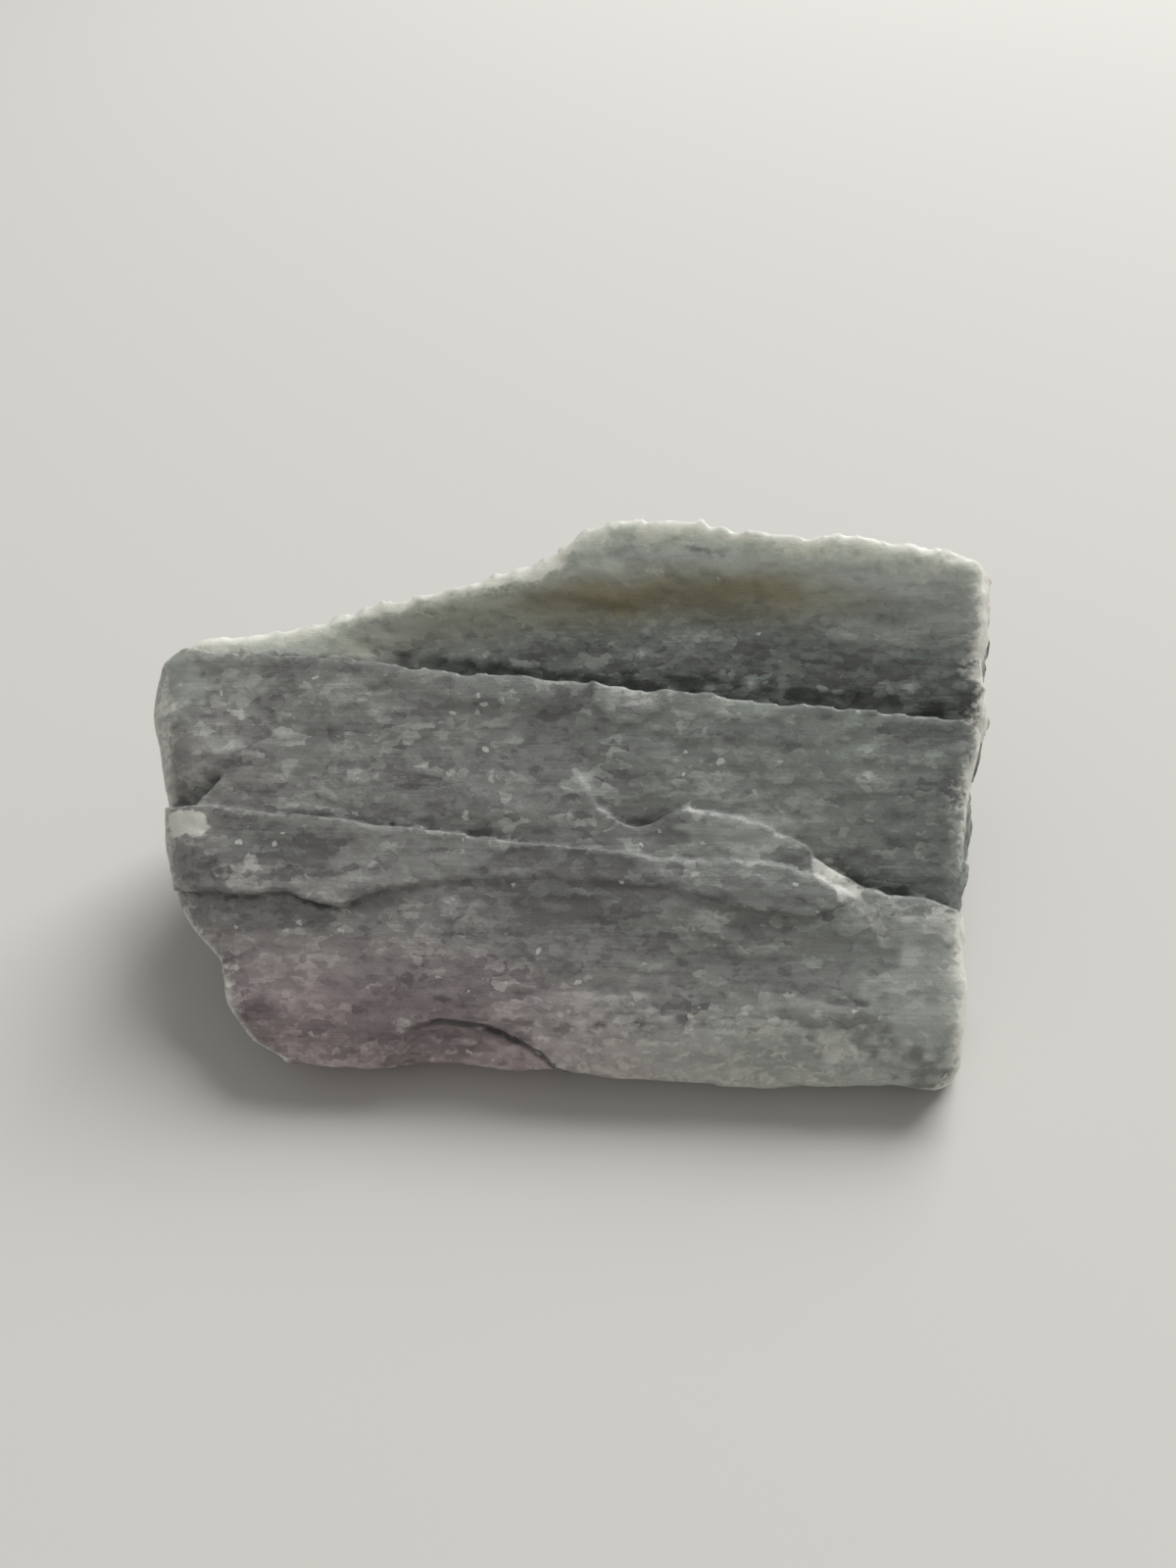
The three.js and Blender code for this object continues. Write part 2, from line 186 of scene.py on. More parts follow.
# Painted shade lies along the foot of each step, and its lip is painted pale, partly a bruise and
# partly a painted highlight: the edge, the side of it (1 is above), how wide it is and how far it
# then fades, and how strong it is along the edge, as (u, strength).
SHADED_FEET = (
    (CREASE_EDGE, 1, 1.0, 0.6, ((-56, 0.2), (-46, 0.6), (-30, 0.8), (-24, 0.8), (-18, 0))),
    (CREASE_EDGE, 1, 3.3, 1.0, ((-32, 0), (-22, 0.8), (-10, 1), (52, 1), (56, 0.6))),
    (CREASE_EDGE, 1, 4.0, 1.0, ((-12, 0), (4, 0.9), (20, 1), (53, 1), (56, 0.6))),
    (CREASE_EDGE, 1, 4.5, 4.5, ((-28, 0), (-14, 0.3), (0, 0.45), (20, 0.6), (56, 0.75))),
    (
        SCARP_EDGE, 1, 0.2, 1.2,
        ((3, 0), (8, 0.3), (12, 1), (16, 0.7), (19, 0.1), (30, 0.2), (36, 0.7), (40, 1), (53, 0.8)),
    ),
    (SCARP_EDGE, 1, 0.5, 4.5, ((28, 0), (38, 0.5), (44, 0.7), (53, 0.6))),
    (
        LEDGE_EDGE, 1, 0.3, 1.0,
        ((-46, 0), (-40, 0.5), (-30, 0.7), (-20, 0.8), (-5, 0.7), (8, 0.5), (20, 0.25), (32, 0)),
    ),
    (
        FLAKE_EDGE, -1, 0.4, 0.6,
        (
            (-49, 0.6), (-41, 0.7), (-35, 0.9), (-28, 1), (-23, 0.5), (-14, 0.4), (-6, 0.1),
            (27, 0), (31, 0.4), (37, 0.3), (40, 0),
        ),
    ),
)
# Painted highlights: the lips of the steps are painted pale where they catch the light, partly bruised
# white.
LIP_HIGHLIGHTS = (
    (
        CREASE_EDGE, -1, 0, 0.9,
        ((-56, 0.5), (-40, 0.3), (-20, 0.25), (-5, 0.15), (5, 0.5), (14, 0.5), (20, 0.2), (56, 0.3)),
    ),
    (
        SCARP_EDGE, -1, 0.9, 0.8,
        (
            (3, 0.1), (8, 0.3), (11, 0.15), (15, 0.1), (17.5, 0.4), (20, 0.8), (33, 0.8), (40, 0.5),
            (53, 0.4),
        ),
    ),
    (
        LEDGE_EDGE, -1, 0, 0.5,
        (
            (-44, 0), (-32, 0.1), (-26, 0.4), (-20, 0.1), (-12, 0.2), (-4, 0.6), (2, 0.3), (8, 0.6),
            (14, 0.1), (20, 0.4), (32, 0),
        ),
    ),
    (
        FLAKE_EDGE, 1, 0.4, 1.3,
        (
            (-49, 0.1), (-35, 0.2), (-31, 0.6), (-26, 0.6), (-20, 0.4), (-10, 0), (28, 0),
            (33, 0.4), (38, 0.2),
        ),
    ),
)

# ---------------------------------------------------------------- fine relief, in millimetres

# Split layers leave long, low striae, and flakes that lie over each other like shingles: each is
# highest at its lower edge, where it broke off.
STRIAE = ((22, 1.3, 0.05, 111), (12, 0.8, 0.03, 112))
FLAKES = ((6.2, 3.6, 0.2, 121), (2.8, 1.7, 0.14, 131))
FLAKE_WANDER = ((3.1, 2.2, 1.0, 125), (1.3, 1.0, 0.45, 127))  # how far their outlines wander
# Broken sides show the grains of the stone, each one broken at its own tilt.
SIDE_GRAINS = ((11, 8, 1.1, 144), (4.4, 3.8, 0.75, 141), (2, 1.8, 0.4, 142), (1.1, 1, 0.2, 143))
RIM_CRUMBS = ((4.6, 3.4, 0.35, 151), (1.7, 1.3, 0.3, 152), (0.9, 0.8, 0.15, 153))
EDGE_SOFTNESS = 0.9  # radius to which edges between broken faces are worn
FOOT_SOFTNESS = 1.4  # and the same around the underside

TICK = 0.2  # spacing of the tables in which the shapes of the sides are kept
TICKS = np.arange(-76.0, 86.0, TICK)
CELL = 0.45  # size of the cells in which the surface is found
BLOCK = 6  # the field is first found for blocks of this many cells
BAND = 5.0  # and then exactly this close to the surface
GRID_LOW = (-62.0, -13.0, -52.0)
GRID_HIGH = (63.0, 74.0, 4.5)
MAX_TRIANGLES = 196000
PLAIN_BELOW = -13  # the thinning starts this deep under the face
FLAT_UNDER = 0.12  # points this close to the ground belong to the flat underside
INSET = 0.02  # the finished stone stays this far inside the solid's box

# ---------------------------------------------------------------- places of the colours

# In millimetres on the face: centre u and v, reach along and across, and strength. Bruised grains
# are white; pale spots are partly cloudy quartz and partly painted light; the darker patches are only
# darker; and worn and thin places are painted pale, as a painted glow of light through them.
WHITE = (
    (-49.8, 24.3, 4, 2.2, 1), (-52, 22, 1.1, 2.4, 0.7), (-45, 35, 5.5, 1.0, 0.5),
    (-53, 32.6, 1.4, 0.8, 0.6), (-53.6, 28, 0.6, 1.2, 0.7), (-17.2, 32.3, 1.7, 0.7, 0.75),
    (-13, 31.3, 0.9, 0.9, 0.8), (-7.4, 30.6, 0.6, 1.5, 0.75), (-10.7, 25.7, 0.4, 1.1, 0.95),
    (-23.4, 30.9, 0.9, 0.9, 0.6), (-11.4, 20.7, 1.3, 0.5, 0.7), (-19.7, 21.4, 0.5, 0.5, 0.8),
    (-12.4, 13.6, 1.5, 1.5, 0.6), (-17.1, 11.9, 1.2, 1.2, 0.5), (-4.6, 10.2, 0.5, 0.5, 0.95),
    (30.1, 33, 0.7, 0.6, 0.95), (45.9, 28.1, 1.3, 0.9, 0.8), (19.9, 26.1, 0.9, 0.9, 0.9),
    (19.5, 18.3, 0.6, 0.5, 0.9), (5.1, 29.9, 0.8, 0.8, 0.4), (17, 33.3, 0.7, 0.6, 0.7),
    (-52, 38.5, 1.6, 4.5, 0.35), (-41, 17.6, 4.6, 1.6, 0.75), (-39.5, 18.5, 1.6, 1.6, 0.9),
    (-29.5, 14.6, 4.6, 1.2, 0.25), (50, 12.5, 3.4, 2.2, 0.85), (45.9, 13.1, 2.6, 0.8, 0.8),
    (36.5, 18.6, 2.8, 2, 1), (38.6, 16, 2, 1.9, 1), (41.2, 14, 1.2, 1, 0.8),
    (37.8, -3, 1.6, 1.1, 0.85), (48, 45, 1.3, 0.9, 0.9), (26.5, 45.5, 0.7, 0.6, 0.95),
    (11, 50, 0.7, 0.7, 0.9), (12, 41.2, 3.4, 1.1, 0.6), (9, 42.4, 2, 0.7, 0.6),
    (-29.7, 31.6, 1.3, 0.8, 0.6), (-41.5, 5, 0.9, 0.6, 0.9), (-17.5, -1.5, 1.4, 0.8, 0.6),
    (41, 31, 1.6, 1.2, 0.7), (36.5, 27.5, 1.6, 0.8, 0.6), (18.8, 27, 1.4, 1, 0.7),
    (-17, 44, 3.4, 0.7, 0.5), (20.5, 37.5, 3, 2, 0.3), (-37.5, 43.5, 1.3, 1.4, 0.4),
    (13, 61.2, 1.4, 1.3, 0.7), (14.8, 62.3, 1.8, 1.1, 0.5), (54.5, 61.3, 3.6, 2, 0.9),
    (13.6, 1.0, 1.4, 2.2, 0.5), (12.5, -1.5, 0.9, 1.6, 0.5), (18.8, -0.2, 1.8, 2.0, 0.5),
    (25.6, 1.1, 2.0, 0.9, 0.6), (34.1, 1.1, 1.6, 1.2, 0.5), (37.5, -3.1, 2.6, 1.8, 0.9),
    (14.7, -2.8, 0.9, 0.6, 0.9), (16.9, -2.8, 1.1, 0.6, 0.7), (22.6, -2.3, 0.9, 0.6, 0.8),
    (25.2, -6.6, 2.0, 1.1, 0.6), (33.1, -6.3, 1.8, 1.1, 0.6), (43.3, 1.4, 2.4, 2.4, 0.4),
    (4.5, -5.2, 2.2, 1.6, 0.5), (22, -9.5, 28, 3.6, 0.55), (-20, -10, 20, 3, 0.4),
    (48.3, 5.4, 0.5, 0.5, 0.9), (47.2, -0.3, 0.6, 0.6, 0.6),
)
GREEN = (
    (-53, 44, 7, 6, 0.5), (49.5, 47, 5, 4, 1), (30, 34, 14, 4, 0.5), (-36, 22, 8, 3, 0.4),
    (-10, 47.5, 14, 1.2, 0.8),
)
# Pale spots are partly cloudy quartz and partly painted light: the nose and the rim at the left are
# painted brighter where they would be lit.
PALE_AND_LIT = (
    (26, 23.8, 8, 2.4, 0.9), (-36, 51, 11, 3, 0.8), (-52, 50.4, 8, 2, 0.8),
    (-29, 15.8, 6, 2.2, 0.2), (-39, 16.5, 5, 2, 0.3), (-56, 36, 3.6, 12, 0.8),
    (27, 24.4, 6.5, 1.9, 1), (-54, 44.5, 6, 5.5, 1), (-54, 22, 2.6, 6, 0.6), (22, -6.5, 30, 7, 1),
    (-18, -10, 18, 4, 0.5), (-30, 5, 15, 7, 0.3), (48.5, 4, 8, 8, 0.35),
    (10.6, 41.5, 4.5, 3.6, 0.35), (-48, 35.4, 7, 1.6, 0.5), (-14, -1, 10, 1.6, 0.3),
    (4, 1, 5, 3, 0.35), (47, 11, 5.5, 3.4, 0.5), (-8, 10, 3, 3, 0.3), (25, 40.5, 5, 2.6, 0.35),
    (34, 33, 12, 6, 0.3), (36, 24, 9, 4, 0.35), (30, 1.5, 9, 3, 0.3), (-18, 43.6, 5, 1.6, 0.3),
    (-46, 43, 6, 3, 0.3), (-32, -8, 9, 3, 0.4),
)
# Broad patches where the face is darker.
DARKER_PATCHES = (
    (4, 14, 15, 8, 0.5), (-35, 20, 13, 5, 0.35), (-12, 30, 12, 6, 0.25), (-20, 6, 9, 4, 0.25),
    (22, 4, 14, 4, 0.3),
)
# Worn places, painted pale as a glow of light through them, partly their own worn colour.
WORN_AND_GLOWING = (
    (-49.8, 24.3, 4, 2.2, 1), (-56, 36, 3, 12, 0.58), (22, -4.5, 30, 7, 0.4), (-20, -8, 22, 6, 0.34),
    (36.5, 18.6, 2, 1.4, 0.5),
)
CLEAN_BREAK = ((48.5, 3.5, 8, 8, 1),)
# Bands of colour along the sheet: where they lie and how strong they are, as points along u.
# The mint band is partly pale green stone and partly a painted glow, brightest at the thin rim.
MINT_GLOW_STRENGTH = ((-45, 1), (-37, 0.95), (-8, 0.95), (2, 1))
BROWN = ((-30, 51), (-10, 56), (0, 57), (15, 58), (30, 57.5), (45, 56))
BROWN_STRENGTH = ((-40, 0), (-30, 0.5), (-8, 0.65), (5, 1), (32, 0.9), (42, 0.4), (50, 0))
BROWN_REACH = 3.8
# Lines on the face, as (u, v) points: a crushed seam, a crack, and the rim of the chip.
SEAM = ((34.9, 19.6), (36.7, 17.8), (37.8, 16.6), (39.6, 15.4), (41.3, 13.6), (43, 11))
HAIRLINE = ((17.5, 64.2), (22.9, 63))
CHIP_RIM = (
    (-19.1, -3.4), (-16, -1.4), (-12.8, -0.7), (-7.6, -1.2), (-5, -2.1), (-2.4, -3.2), (0.2, -4.6),
    (2.8, -6.9),
)
# The pale edges are wider in some places than in others: wavelength along and across, seed.
PATCHES = (4.5, 3.5, 201)
FACE_FADE = (-14, -10.5)  # depth under the face over which its colours fade out

# ---------------------------------------------------------------- sizes in the material, in millimetres

# Along, across and into the face. Several grains in one plate share a tone, and a shard is part
# of a crushed grain.
GRAIN = (1.6, 0.8, 0.8)
GRAIN_PLATE = (4.4, 2.0, 1.7)
GRAIN_LAYER = (10, 5, 3.5)
SHARD = (0.75, 0.55, 0.55)
CLOUD = (12, 6, 6)
STREAK = (9, 0.4, 0.4)
SPECK_CLOUD = (14, 9, 9)
FINE_STREAK = (6, 0.3, 0.3)
SUGAR = (0.5, 0.4, 0.4)  # the real sugary surface is finer, too fine to show
GRAIN_WANDER = 1.2  # how far the outlines of the grains wander
WANDER_DENSITY = 0.8  # bends of the outlines in a millimetre
GRAIN_RELIEF = 0.2  # how far single grains stand out in the finest relief

# The numbers that are worked out for each point of the mesh, and that the material reads.
MARKS = (
    "pale_edge_glow", "mint_glow", "painted_shade_at_foot", "brown", "green", "blush_and_bounce_light", "bruise_and_highlight", "lip_highlight", "mottle", "clear", "pale_and_lit",
    "tone", "prominence", "openness",
)

# ---------------------------------------------------------------- camera and lamps, in metres

CAMERA_PLACE = (0.0272, -0.1139, 0.137)
CAMERA_AZIMUTH = math.radians(11.7)
CAMERA_PITCH = math.radians(44)
CAMERA_ROLL = math.radians(8)
CAMERA_SENSOR = 36  # in millimetres, along the picture's long side
CAMERA_LENS = 27  # in millimetres
STONE_MIDDLE = (0, 0, 0.02)
WINDOW_PLACE, WINDOW_SIZE = (0.9, 1.4, 1.7), 1.6
FILL_PLACE, FILL_SIZE = (-0.3, -0.8, 0.8), 0.9
ROOM_TINT = (1, 0.99, 0.97)

# ---------------------------------------------------------------- noise and lines


def lattice(i, j, seed):
    """A repeatable random number from -1 to 1 for each point of an integer grid."""
    h = (i * 374761393 + j * 668265263 + seed * 1442695041) & 0xFFFFFFFF
    h = ((h ^ (h >> 13)) * 1274126177) & 0xFFFFFFFF
    h = h ^ (h >> 16)
    return h / 2147483647.5 - 1


def ease(t):
    return t * t * (3 - 2 * t)


def smooth(start, end, x):
    return ease(np.clip((x - start) / (end - start), 0, 1))


def mix(a, b, t):
    return a + (b - a) * t


def noise(x, y, seed):
    """Smooth noise from -1 to 1, with lumps about one unit across."""
    i = np.floor(x).astype(np.int64)
    j = np.floor(y).astype(np.int64)
    s, t = ease(x - i), ease(y - j)
    near = mix(lattice(i, j, seed), lattice(i + 1, j, seed), s)
    far = mix(lattice(i, j + 1, seed), lattice(i + 1, j + 1, seed), s)
    return mix(near, far, t)


def cells(x, y, seed):
    """Irregular cells about one unit across: each one's two keys, and the place in it."""
    i = np.floor(x).astype(np.int64)
    j = np.floor(y).astype(np.int64)
    nearest = np.full(np.shape(x), np.inf)
    own_i, own_j, in_x, in_y = i.copy(), j.copy(), x - i, y - j
    for next_i in (i - 1, i, i + 1):
        for next_j in (j - 1, j, j + 1):
            off_x = x - next_i - 0.5 - 0.45 * lattice(next_i, next_j, seed)
            off_y = y - next_j - 0.5 - 0.45 * lattice(next_i, next_j, seed + 1)
            distance = off_x**2 + off_y**2
            closer = distance < nearest
            nearest = np.where(closer, distance, nearest)
            own_i, own_j = np.where(closer, next_i, own_i), np.where(closer, next_j, own_j)
            in_x, in_y = np.where(closer, off_x, in_x), np.where(closer, off_y, in_y)
    return own_i, own_j, in_x, in_y


def broken_grains(grains, x, y):
    """Grains that each broke at a height and tilt of their own."""
    height = 0
    for along, across, size, seed in grains:
        i, j, in_x, in_y = cells(x / along, y / across, seed)
        tilt = lattice(i, j, seed + 2) * in_x + lattice(i, j, seed + 3) * in_y
        height = height + size * (tilt + 0.5 * lattice(i, j, seed + 4))
    return height


def flakes(u, v):
    """The height of the flakes, and how clear or cloudy each one is, from about -1 to 1."""
    height, tone = 0, 0
    for along, across, size, seed in FLAKE_WANDER:
        u = u + size * noise(u / along, v / across, seed)
        v = v + 0.5 * size * noise(u / along, v / across, seed + 1)
    for along, across, size, seed in FLAKES:
        i, j, in_u, in_v = cells(u / along, v / across, seed)
        own = lattice(i, j, seed + 4)
        tilt = 0.4 * lattice(i, j, seed + 2) * in_u - (0.6 + 0.4 * lattice(i, j, seed + 3)) * in_v
        height = height + size * (tilt + 0.4 * own)
        tone = tone + 0.45 * own - 0.5 * in_v * (0.6 + 0.4 * lattice(i, j, seed + 5))
    return height, tone


def unevenness(lumps, x, y):
    """Lumps of several sizes on top of each other."""
    return sum(size * noise(x / along, y / across, seed) for along, across, size, seed in lumps)


def line(points, x):
    """The value at x of the line through (x, value) points."""
    return np.interp(x, [p[0] for p in points], [p[1] for p in points])


def ragged(edge, x):
    """The line of a broken edge: it wavers, and steps where grains came out."""
    points, size, seed = edge
    middle = np.full_like(TICKS, 0.5)
    waver = noise(TICKS / 3.7, middle, seed) + 0.4 * noise(TICKS / 0.9, middle, seed + 1)
    steps = smooth(-0.1, 0.1, noise(TICKS / 1.9, middle, seed + 2)) - 0.5
    return line(points, x) + size * np.interp(x, TICKS, waver + 0.8 * steps)


def tabled(rough):
    """Works a function of two distances out once, as a table that is quick to read between ticks."""
    table = rough(*np.meshgrid(TICKS, TICKS, indexing="ij"))
    last = len(TICKS) - 1.001

    @functools.wraps(rough)
    def read(x, y):
        s = np.clip((x - TICKS[0]) / TICK, 0, last)
        t = np.clip((y - TICKS[0]) / TICK, 0, last)
        i, j = s.astype(np.int64), t.astype(np.int64)
        s, t = s - i, t - j
        near = mix(table[i, j], table[i + 1, j], s)
        far = mix(table[i, j + 1], table[i + 1, j + 1], s)
        return mix(near, far, t)

    return read


def worn_max(a, b, radius):
    """The larger of two fields, with the edge between them worn to a radius."""
    near = np.maximum(radius - np.abs(a - b), 0) / radius
    return np.maximum(a, b) + near * near * radius * 0.25


# ---------------------------------------------------------------- the broad face


def spots(places, u, v):
    """Soft spots at (u, v, reach along, reach across, strength)."""
    amount = 0
    for centre_u, centre_v, along, across, strength in places:
        distance = np.hypot((u - centre_u) / along, (v - centre_v) / across)
        distance = distance * (1 + 0.35 * noise(u / 1.3, v / 0.9, 221))
        amount = np.maximum(amount, strength * smooth(1.15, 0.6, distance))
    return amount


def rounding(edge, inside):
    """How far the face drops towards one of its edges."""
    reach, drop = edge
    return drop * np.maximum(0, reach - inside) ** 2 / reach**2


def hollow(shape, u, v):
    """The depth of a hollow with a steep wall and an even floor."""
    centre_u, centre_v, along, across, depth, wall = shape
    distance = np.hypot((u - centre_u) / along, (v - centre_v) / across)
    return depth * smooth(1, 1 - wall, distance + 0.05 * noise(u / 2, v / 1.5, 61))


def notch(u, v):
    """The wedge that broke out at the left end: steep at its lower edge, and shallower upwards."""
    low = line([(place, bottom) for place, bottom, top in NOTCH], u)
    high = line([(place, top) for place, bottom, top in NOTCH], u)
    v = v + 0.3 * noise(u / 1.1, v / 1.1, 62)
    upwards = (v - low) / np.maximum(high - low, 0.1)
    along = smooth(-44.8, -46, u) * smooth(-55.5, -51.5, u)
    return smooth(-0.03, 0.08, upwards) * smooth(1.25, 0.1, upwards) * along


def past_bevel(u, v):
    """How far up the slope of the sheet a point lies past the start of its bevel."""
    size, waver, seed = BEVEL_WAVER
    return v - line(BEVEL, u) + waver * noise(u / size, v / size, seed)


@tabled
def relief(u, v):
    """Lumps, steps, striae, flakes and grains, and the rounding of the face's own edges."""
    along, across, size, seed = FACE_STEPS
    steps = smooth(-STEP_EDGE, STEP_EDGE, noise(u / along, v / across, seed))
    height = unevenness(FACE_LUMPS, u, v) + size * steps
    fine = unevenness(STRIAE, u, v) + flakes(u, v)[0]
    worn = smooth(12, -4, v) * smooth(20, -30, u)
    worn = np.maximum(worn, 1.7 * spots(CLEAN_BREAK, u, v))
    left = rounding(ROUND_LEFT, u - line(LEFT_END, v)) * mix(0.3, 1, smooth(4, 18, v))
    right = rounding(ROUND_RIGHT, line(RIGHT_END, v) - u)
    nose = rounding(ROUND_NOSE, v - ROUND_NOSE_FROM + ROUND_NOSE[0])
    return height + fine * (1 - 0.5 * worn) - left - right - nose - hollow(CHIP, u, v)


@tabled
def sheet_depth(u, v):
    """How deep the sheet behind the crease lies: it curves up from the crease to the rim."""
    crease = line(CREASE, u)
    rise = np.clip((v - crease) / (line(RIM, u) - crease), 0, 1)
    depth = line(CREASE_DEPTH, u)
    fall = BEVEL_SLOPE * np.maximum(0, past_bevel(u, v))
    return depth - np.maximum(0, depth - RIM_DEPTH) * rise**1.4 + fall


@tabled
def slab_depth(u, v):
    """How deep the front slab lies: hollowed above the scarp, with a notch and a thin plate."""
    above = np.maximum(0, v - line(SCARP, u)) / line(SCARP_REACH, u)
    hollowed = line(SCARP_DEPTH, u) * np.exp(-above * above)
    groove = line(SCARP_GROOVE, u) * np.exp(-np.abs(v - line(SCARP, u)) / GROOVE_REACH)
    return hollowed + groove + NOTCH_DEPTH * notch(u, v) - hollow(PLATE, u, v)


@tabled
def plate_depth(u, v):
    """The shallow groove above the ledge."""
    return line(LEDGE_GROOVE, u) * np.exp(-np.abs(v - line(LEDGE, u)) / GROOVE_REACH)


@tabled
def lower_rise(u, v):
    """How far the lower slab stands out below the ledge."""
    settled = 1 - LEDGE_SETTLE * smooth(2, 22, line(LEDGE, u) - v)
    return line(LEDGE_STEP, u) * settled


# ---------------------------------------------------------------- the other sides


def face_v(y, z):
    """How far up the slope of the face a point lies."""
    return y * math.cos(FACE_ANGLE) + (z - FACE_START) * math.sin(FACE_ANGLE)


def face_w(y, z):
    """How far a point stands out from the plane of the face."""
    return (z - FACE_START) * math.cos(FACE_ANGLE) - y * math.sin(FACE_ANGLE)


def beds(side, w):
    """The layers broke off at slightly different places, which leaves shallow ledges."""
    along, wander, size, edge, seed = BED_STEP
    place = w / BED + wander * noise(side / along, 0.5 + 0 * side, seed)
    bed = np.floor(place).astype(np.int64)
    blend = smooth(1 - edge, 1, place - bed)
    return size * mix(lattice(bed, 0, seed + 1), lattice(bed + 1, 0, seed + 1), blend)


@tabled
def back(x, z):
    """How far back the stone reaches at x and z: a bulging break that starts at the rim."""
    v = ragged(RIM_EDGE, x)
    rim_z = FACE_START + v * math.sin(FACE_ANGLE) - RIM_DEPTH * math.cos(FACE_ANGLE)
    down = np.clip((rim_z - z) / rim_z, -0.2, 1)
    evened = sum(line(RIM, x + aside) for aside in (-6, -3, 0, 3, 6)) / 5
    v = mix(v, evened, smooth(0, 0.25, down))
    rim_y = v * math.cos(FACE_ANGLE) + RIM_DEPTH * math.sin(FACE_ANGLE)
    rough = unevenness(BACK_LUMPS, x, z) + beds(x, face_w(rim_y, z)) + broken_grains(SIDE_GRAINS, x, z)
    crumbs = broken_grains(RIM_CRUMBS, x, z)
    return rim_y + BACK_BULGE * np.sin(down * 2.2) + mix(crumbs, rough, smooth(0, 0.25, down))


@tabled
def right_end(y, z):
    """How far to the right the stone reaches: a square break across the layers."""
    w = face_w(y, z)
    rough = unevenness(RIGHT_LUMPS, y, z) + beds(y, w)
    grains = broken_grains(SIDE_GRAINS, y, z) * mix(0.3, 0.7, smooth(-1, -9, w))
    return line(RIGHT_END, face_v(y, z)) - 0.02 * w + (rough - 0.3) * smooth(-2, -12, w) + grains


@tabled
def left_end(y, z):
    """How far to the left the stone reaches: a worn and uneven break."""
    w = face_w(y, z)
    rough = unevenness(LEFT_LUMPS, y, z) + beds(y, w) + broken_grains(SIDE_GRAINS, y, z)
    return -line(LEFT_END, face_v(y, z)) - 0.13 * np.maximum(0, -4 - w) + rough * smooth(-3, -14, w)


@tabled
def nose(x, z):
    """How far forward the stone reaches at x and z, below the broad face."""
    grains = 0.35 * broken_grains(SIDE_GRAINS, x, z)
    return line(NOSE, z) + line(NOSE_SWELL, x) + unevenness(NOSE_LUMPS, x, z) + grains


# ---------------------------------------------------------------- the stone as a field


def stone_field(u, v, w):
    """Roughly the distance outside the stone at each point given in face coordinates."""
    crease = ragged(CREASE_EDGE, u) + CREASE_UNDERCUT * np.clip(w, -10, 0)
    scarp = ragged(SCARP_EDGE, u)
    ledge = ragged(LEDGE_EDGE, u)
    flake = ragged(FLAKE_EDGE, u)
    height = relief(u, v)
    lower = height + lower_rise(u, v)
    back_layer = w - height + sheet_depth(u, v)
    groove = plate_depth(u, v)
    slab = worn_max(w - height + slab_depth(u, v) + groove, v - crease, 0.5)
    plate = worn_max(w - height + groove, np.maximum(v - scarp, v - crease), 0.4)
    low = worn_max(w - lower, v - ledge, 0.3)
    cover = np.maximum(worn_max(w - lower - line(FLAKE_STEP, u), v - ledge, 0.4), flake - v)
    layers = np.minimum(np.minimum(np.minimum(back_layer, slab), plate), np.minimum(low, cover))
    y, z = frame_yz(v, w)
    sides = worn_max(y - back(u, z), u - right_end(y, z), EDGE_SOFTNESS)
    sides = worn_max(sides, -u - left_end(y, z), EDGE_SOFTNESS)
    sides = worn_max(sides, -y - nose(u, z), EDGE_SOFTNESS)
    return worn_max(worn_max(layers, sides, EDGE_SOFTNESS), -z, FOOT_SOFTNESS)


def frame_yz(v, w):
    """The face coordinates v and w as distances back and up in the frame's directions."""
    y = v * math.cos(FACE_ANGLE) - w * math.sin(FACE_ANGLE)
    z = FACE_START + v * math.sin(FACE_ANGLE) + w * math.cos(FACE_ANGLE)
    return y, z


def sampled(field):
    """The field on a grid of cells: roughly everywhere, and exactly near the surface."""
    block = CELL * BLOCK
    counts = [math.ceil((high - low) / block) for low, high in zip(GRID_LOW, GRID_HIGH)]
    middles = [low + block * (np.arange(n) + 0.5) for low, n in zip(GRID_LOW, counts)]
    u, v, w = (axis.ravel() for axis in np.meshgrid(*middles, indexing="ij"))
    values = field(u, v, w).reshape(counts)
    for axis in range(3):
        values = values.repeat(BLOCK, axis)
    near = np.abs(values) < BAND
    u, v, w = (low + CELL * n for low, n in zip(GRID_LOW, np.nonzero(near)))
    values[near] = field(u, v, w)
    return np.clip(values, -4, 4)


def stone_mesh(name):
    """The surface of the field as one closed mesh, in metres in the frame's axes."""
    grid = openvdb.FloatGrid(4.0)
    grid.copyFromArray(sampled(stone_field).astype(np.float32))
    points, quads = grid.convertToQuads(0.0)
    co = points.astype(float) * CELL + np.array(GRID_LOW)
    mesh = bpy.data.meshes.new(name)
    mesh.from_pydata(to_frame(co), [], quads.astype(int)[:, ::-1])
    mesh.validate()
    return mesh


def to_frame(co):
    """Face coordinates in millimetres to points in metres in the frame's axes."""
    u, v, w = co.T
    y, z = frame_yz(v, w)
    z = np.where(z < FLAT_UNDER, 0, z)
    return inside_solid_box(np.stack([u + FACE_ORIGIN[0], y + FACE_ORIGIN[1], z], 1) * MM)


def inside_solid_box(points):
    """Points held just inside the box of the solid in the frame."""
    low = np.array(CAD_LOW) + INSET * MM
    low[2] = 0
    return np.clip(points, low, np.array(CAD_HIGH) - INSET * MM)


def to_face(points):
    """Points in metres in the frame's axes to face coordinates and y and z, in millimetres."""
    x, y, z = (points / MM).T
    x, y = x - FACE_ORIGIN[0], y - FACE_ORIGIN[1]
    return x, face_v(y, z), face_w(y, z), y, z


def mesh_points(mesh):
    co = np.empty(len(mesh.vertices) * 3, np.float32)
    mesh.vertices.foreach_get("co", co)
    return co.reshape(-1, 3).astype(float)


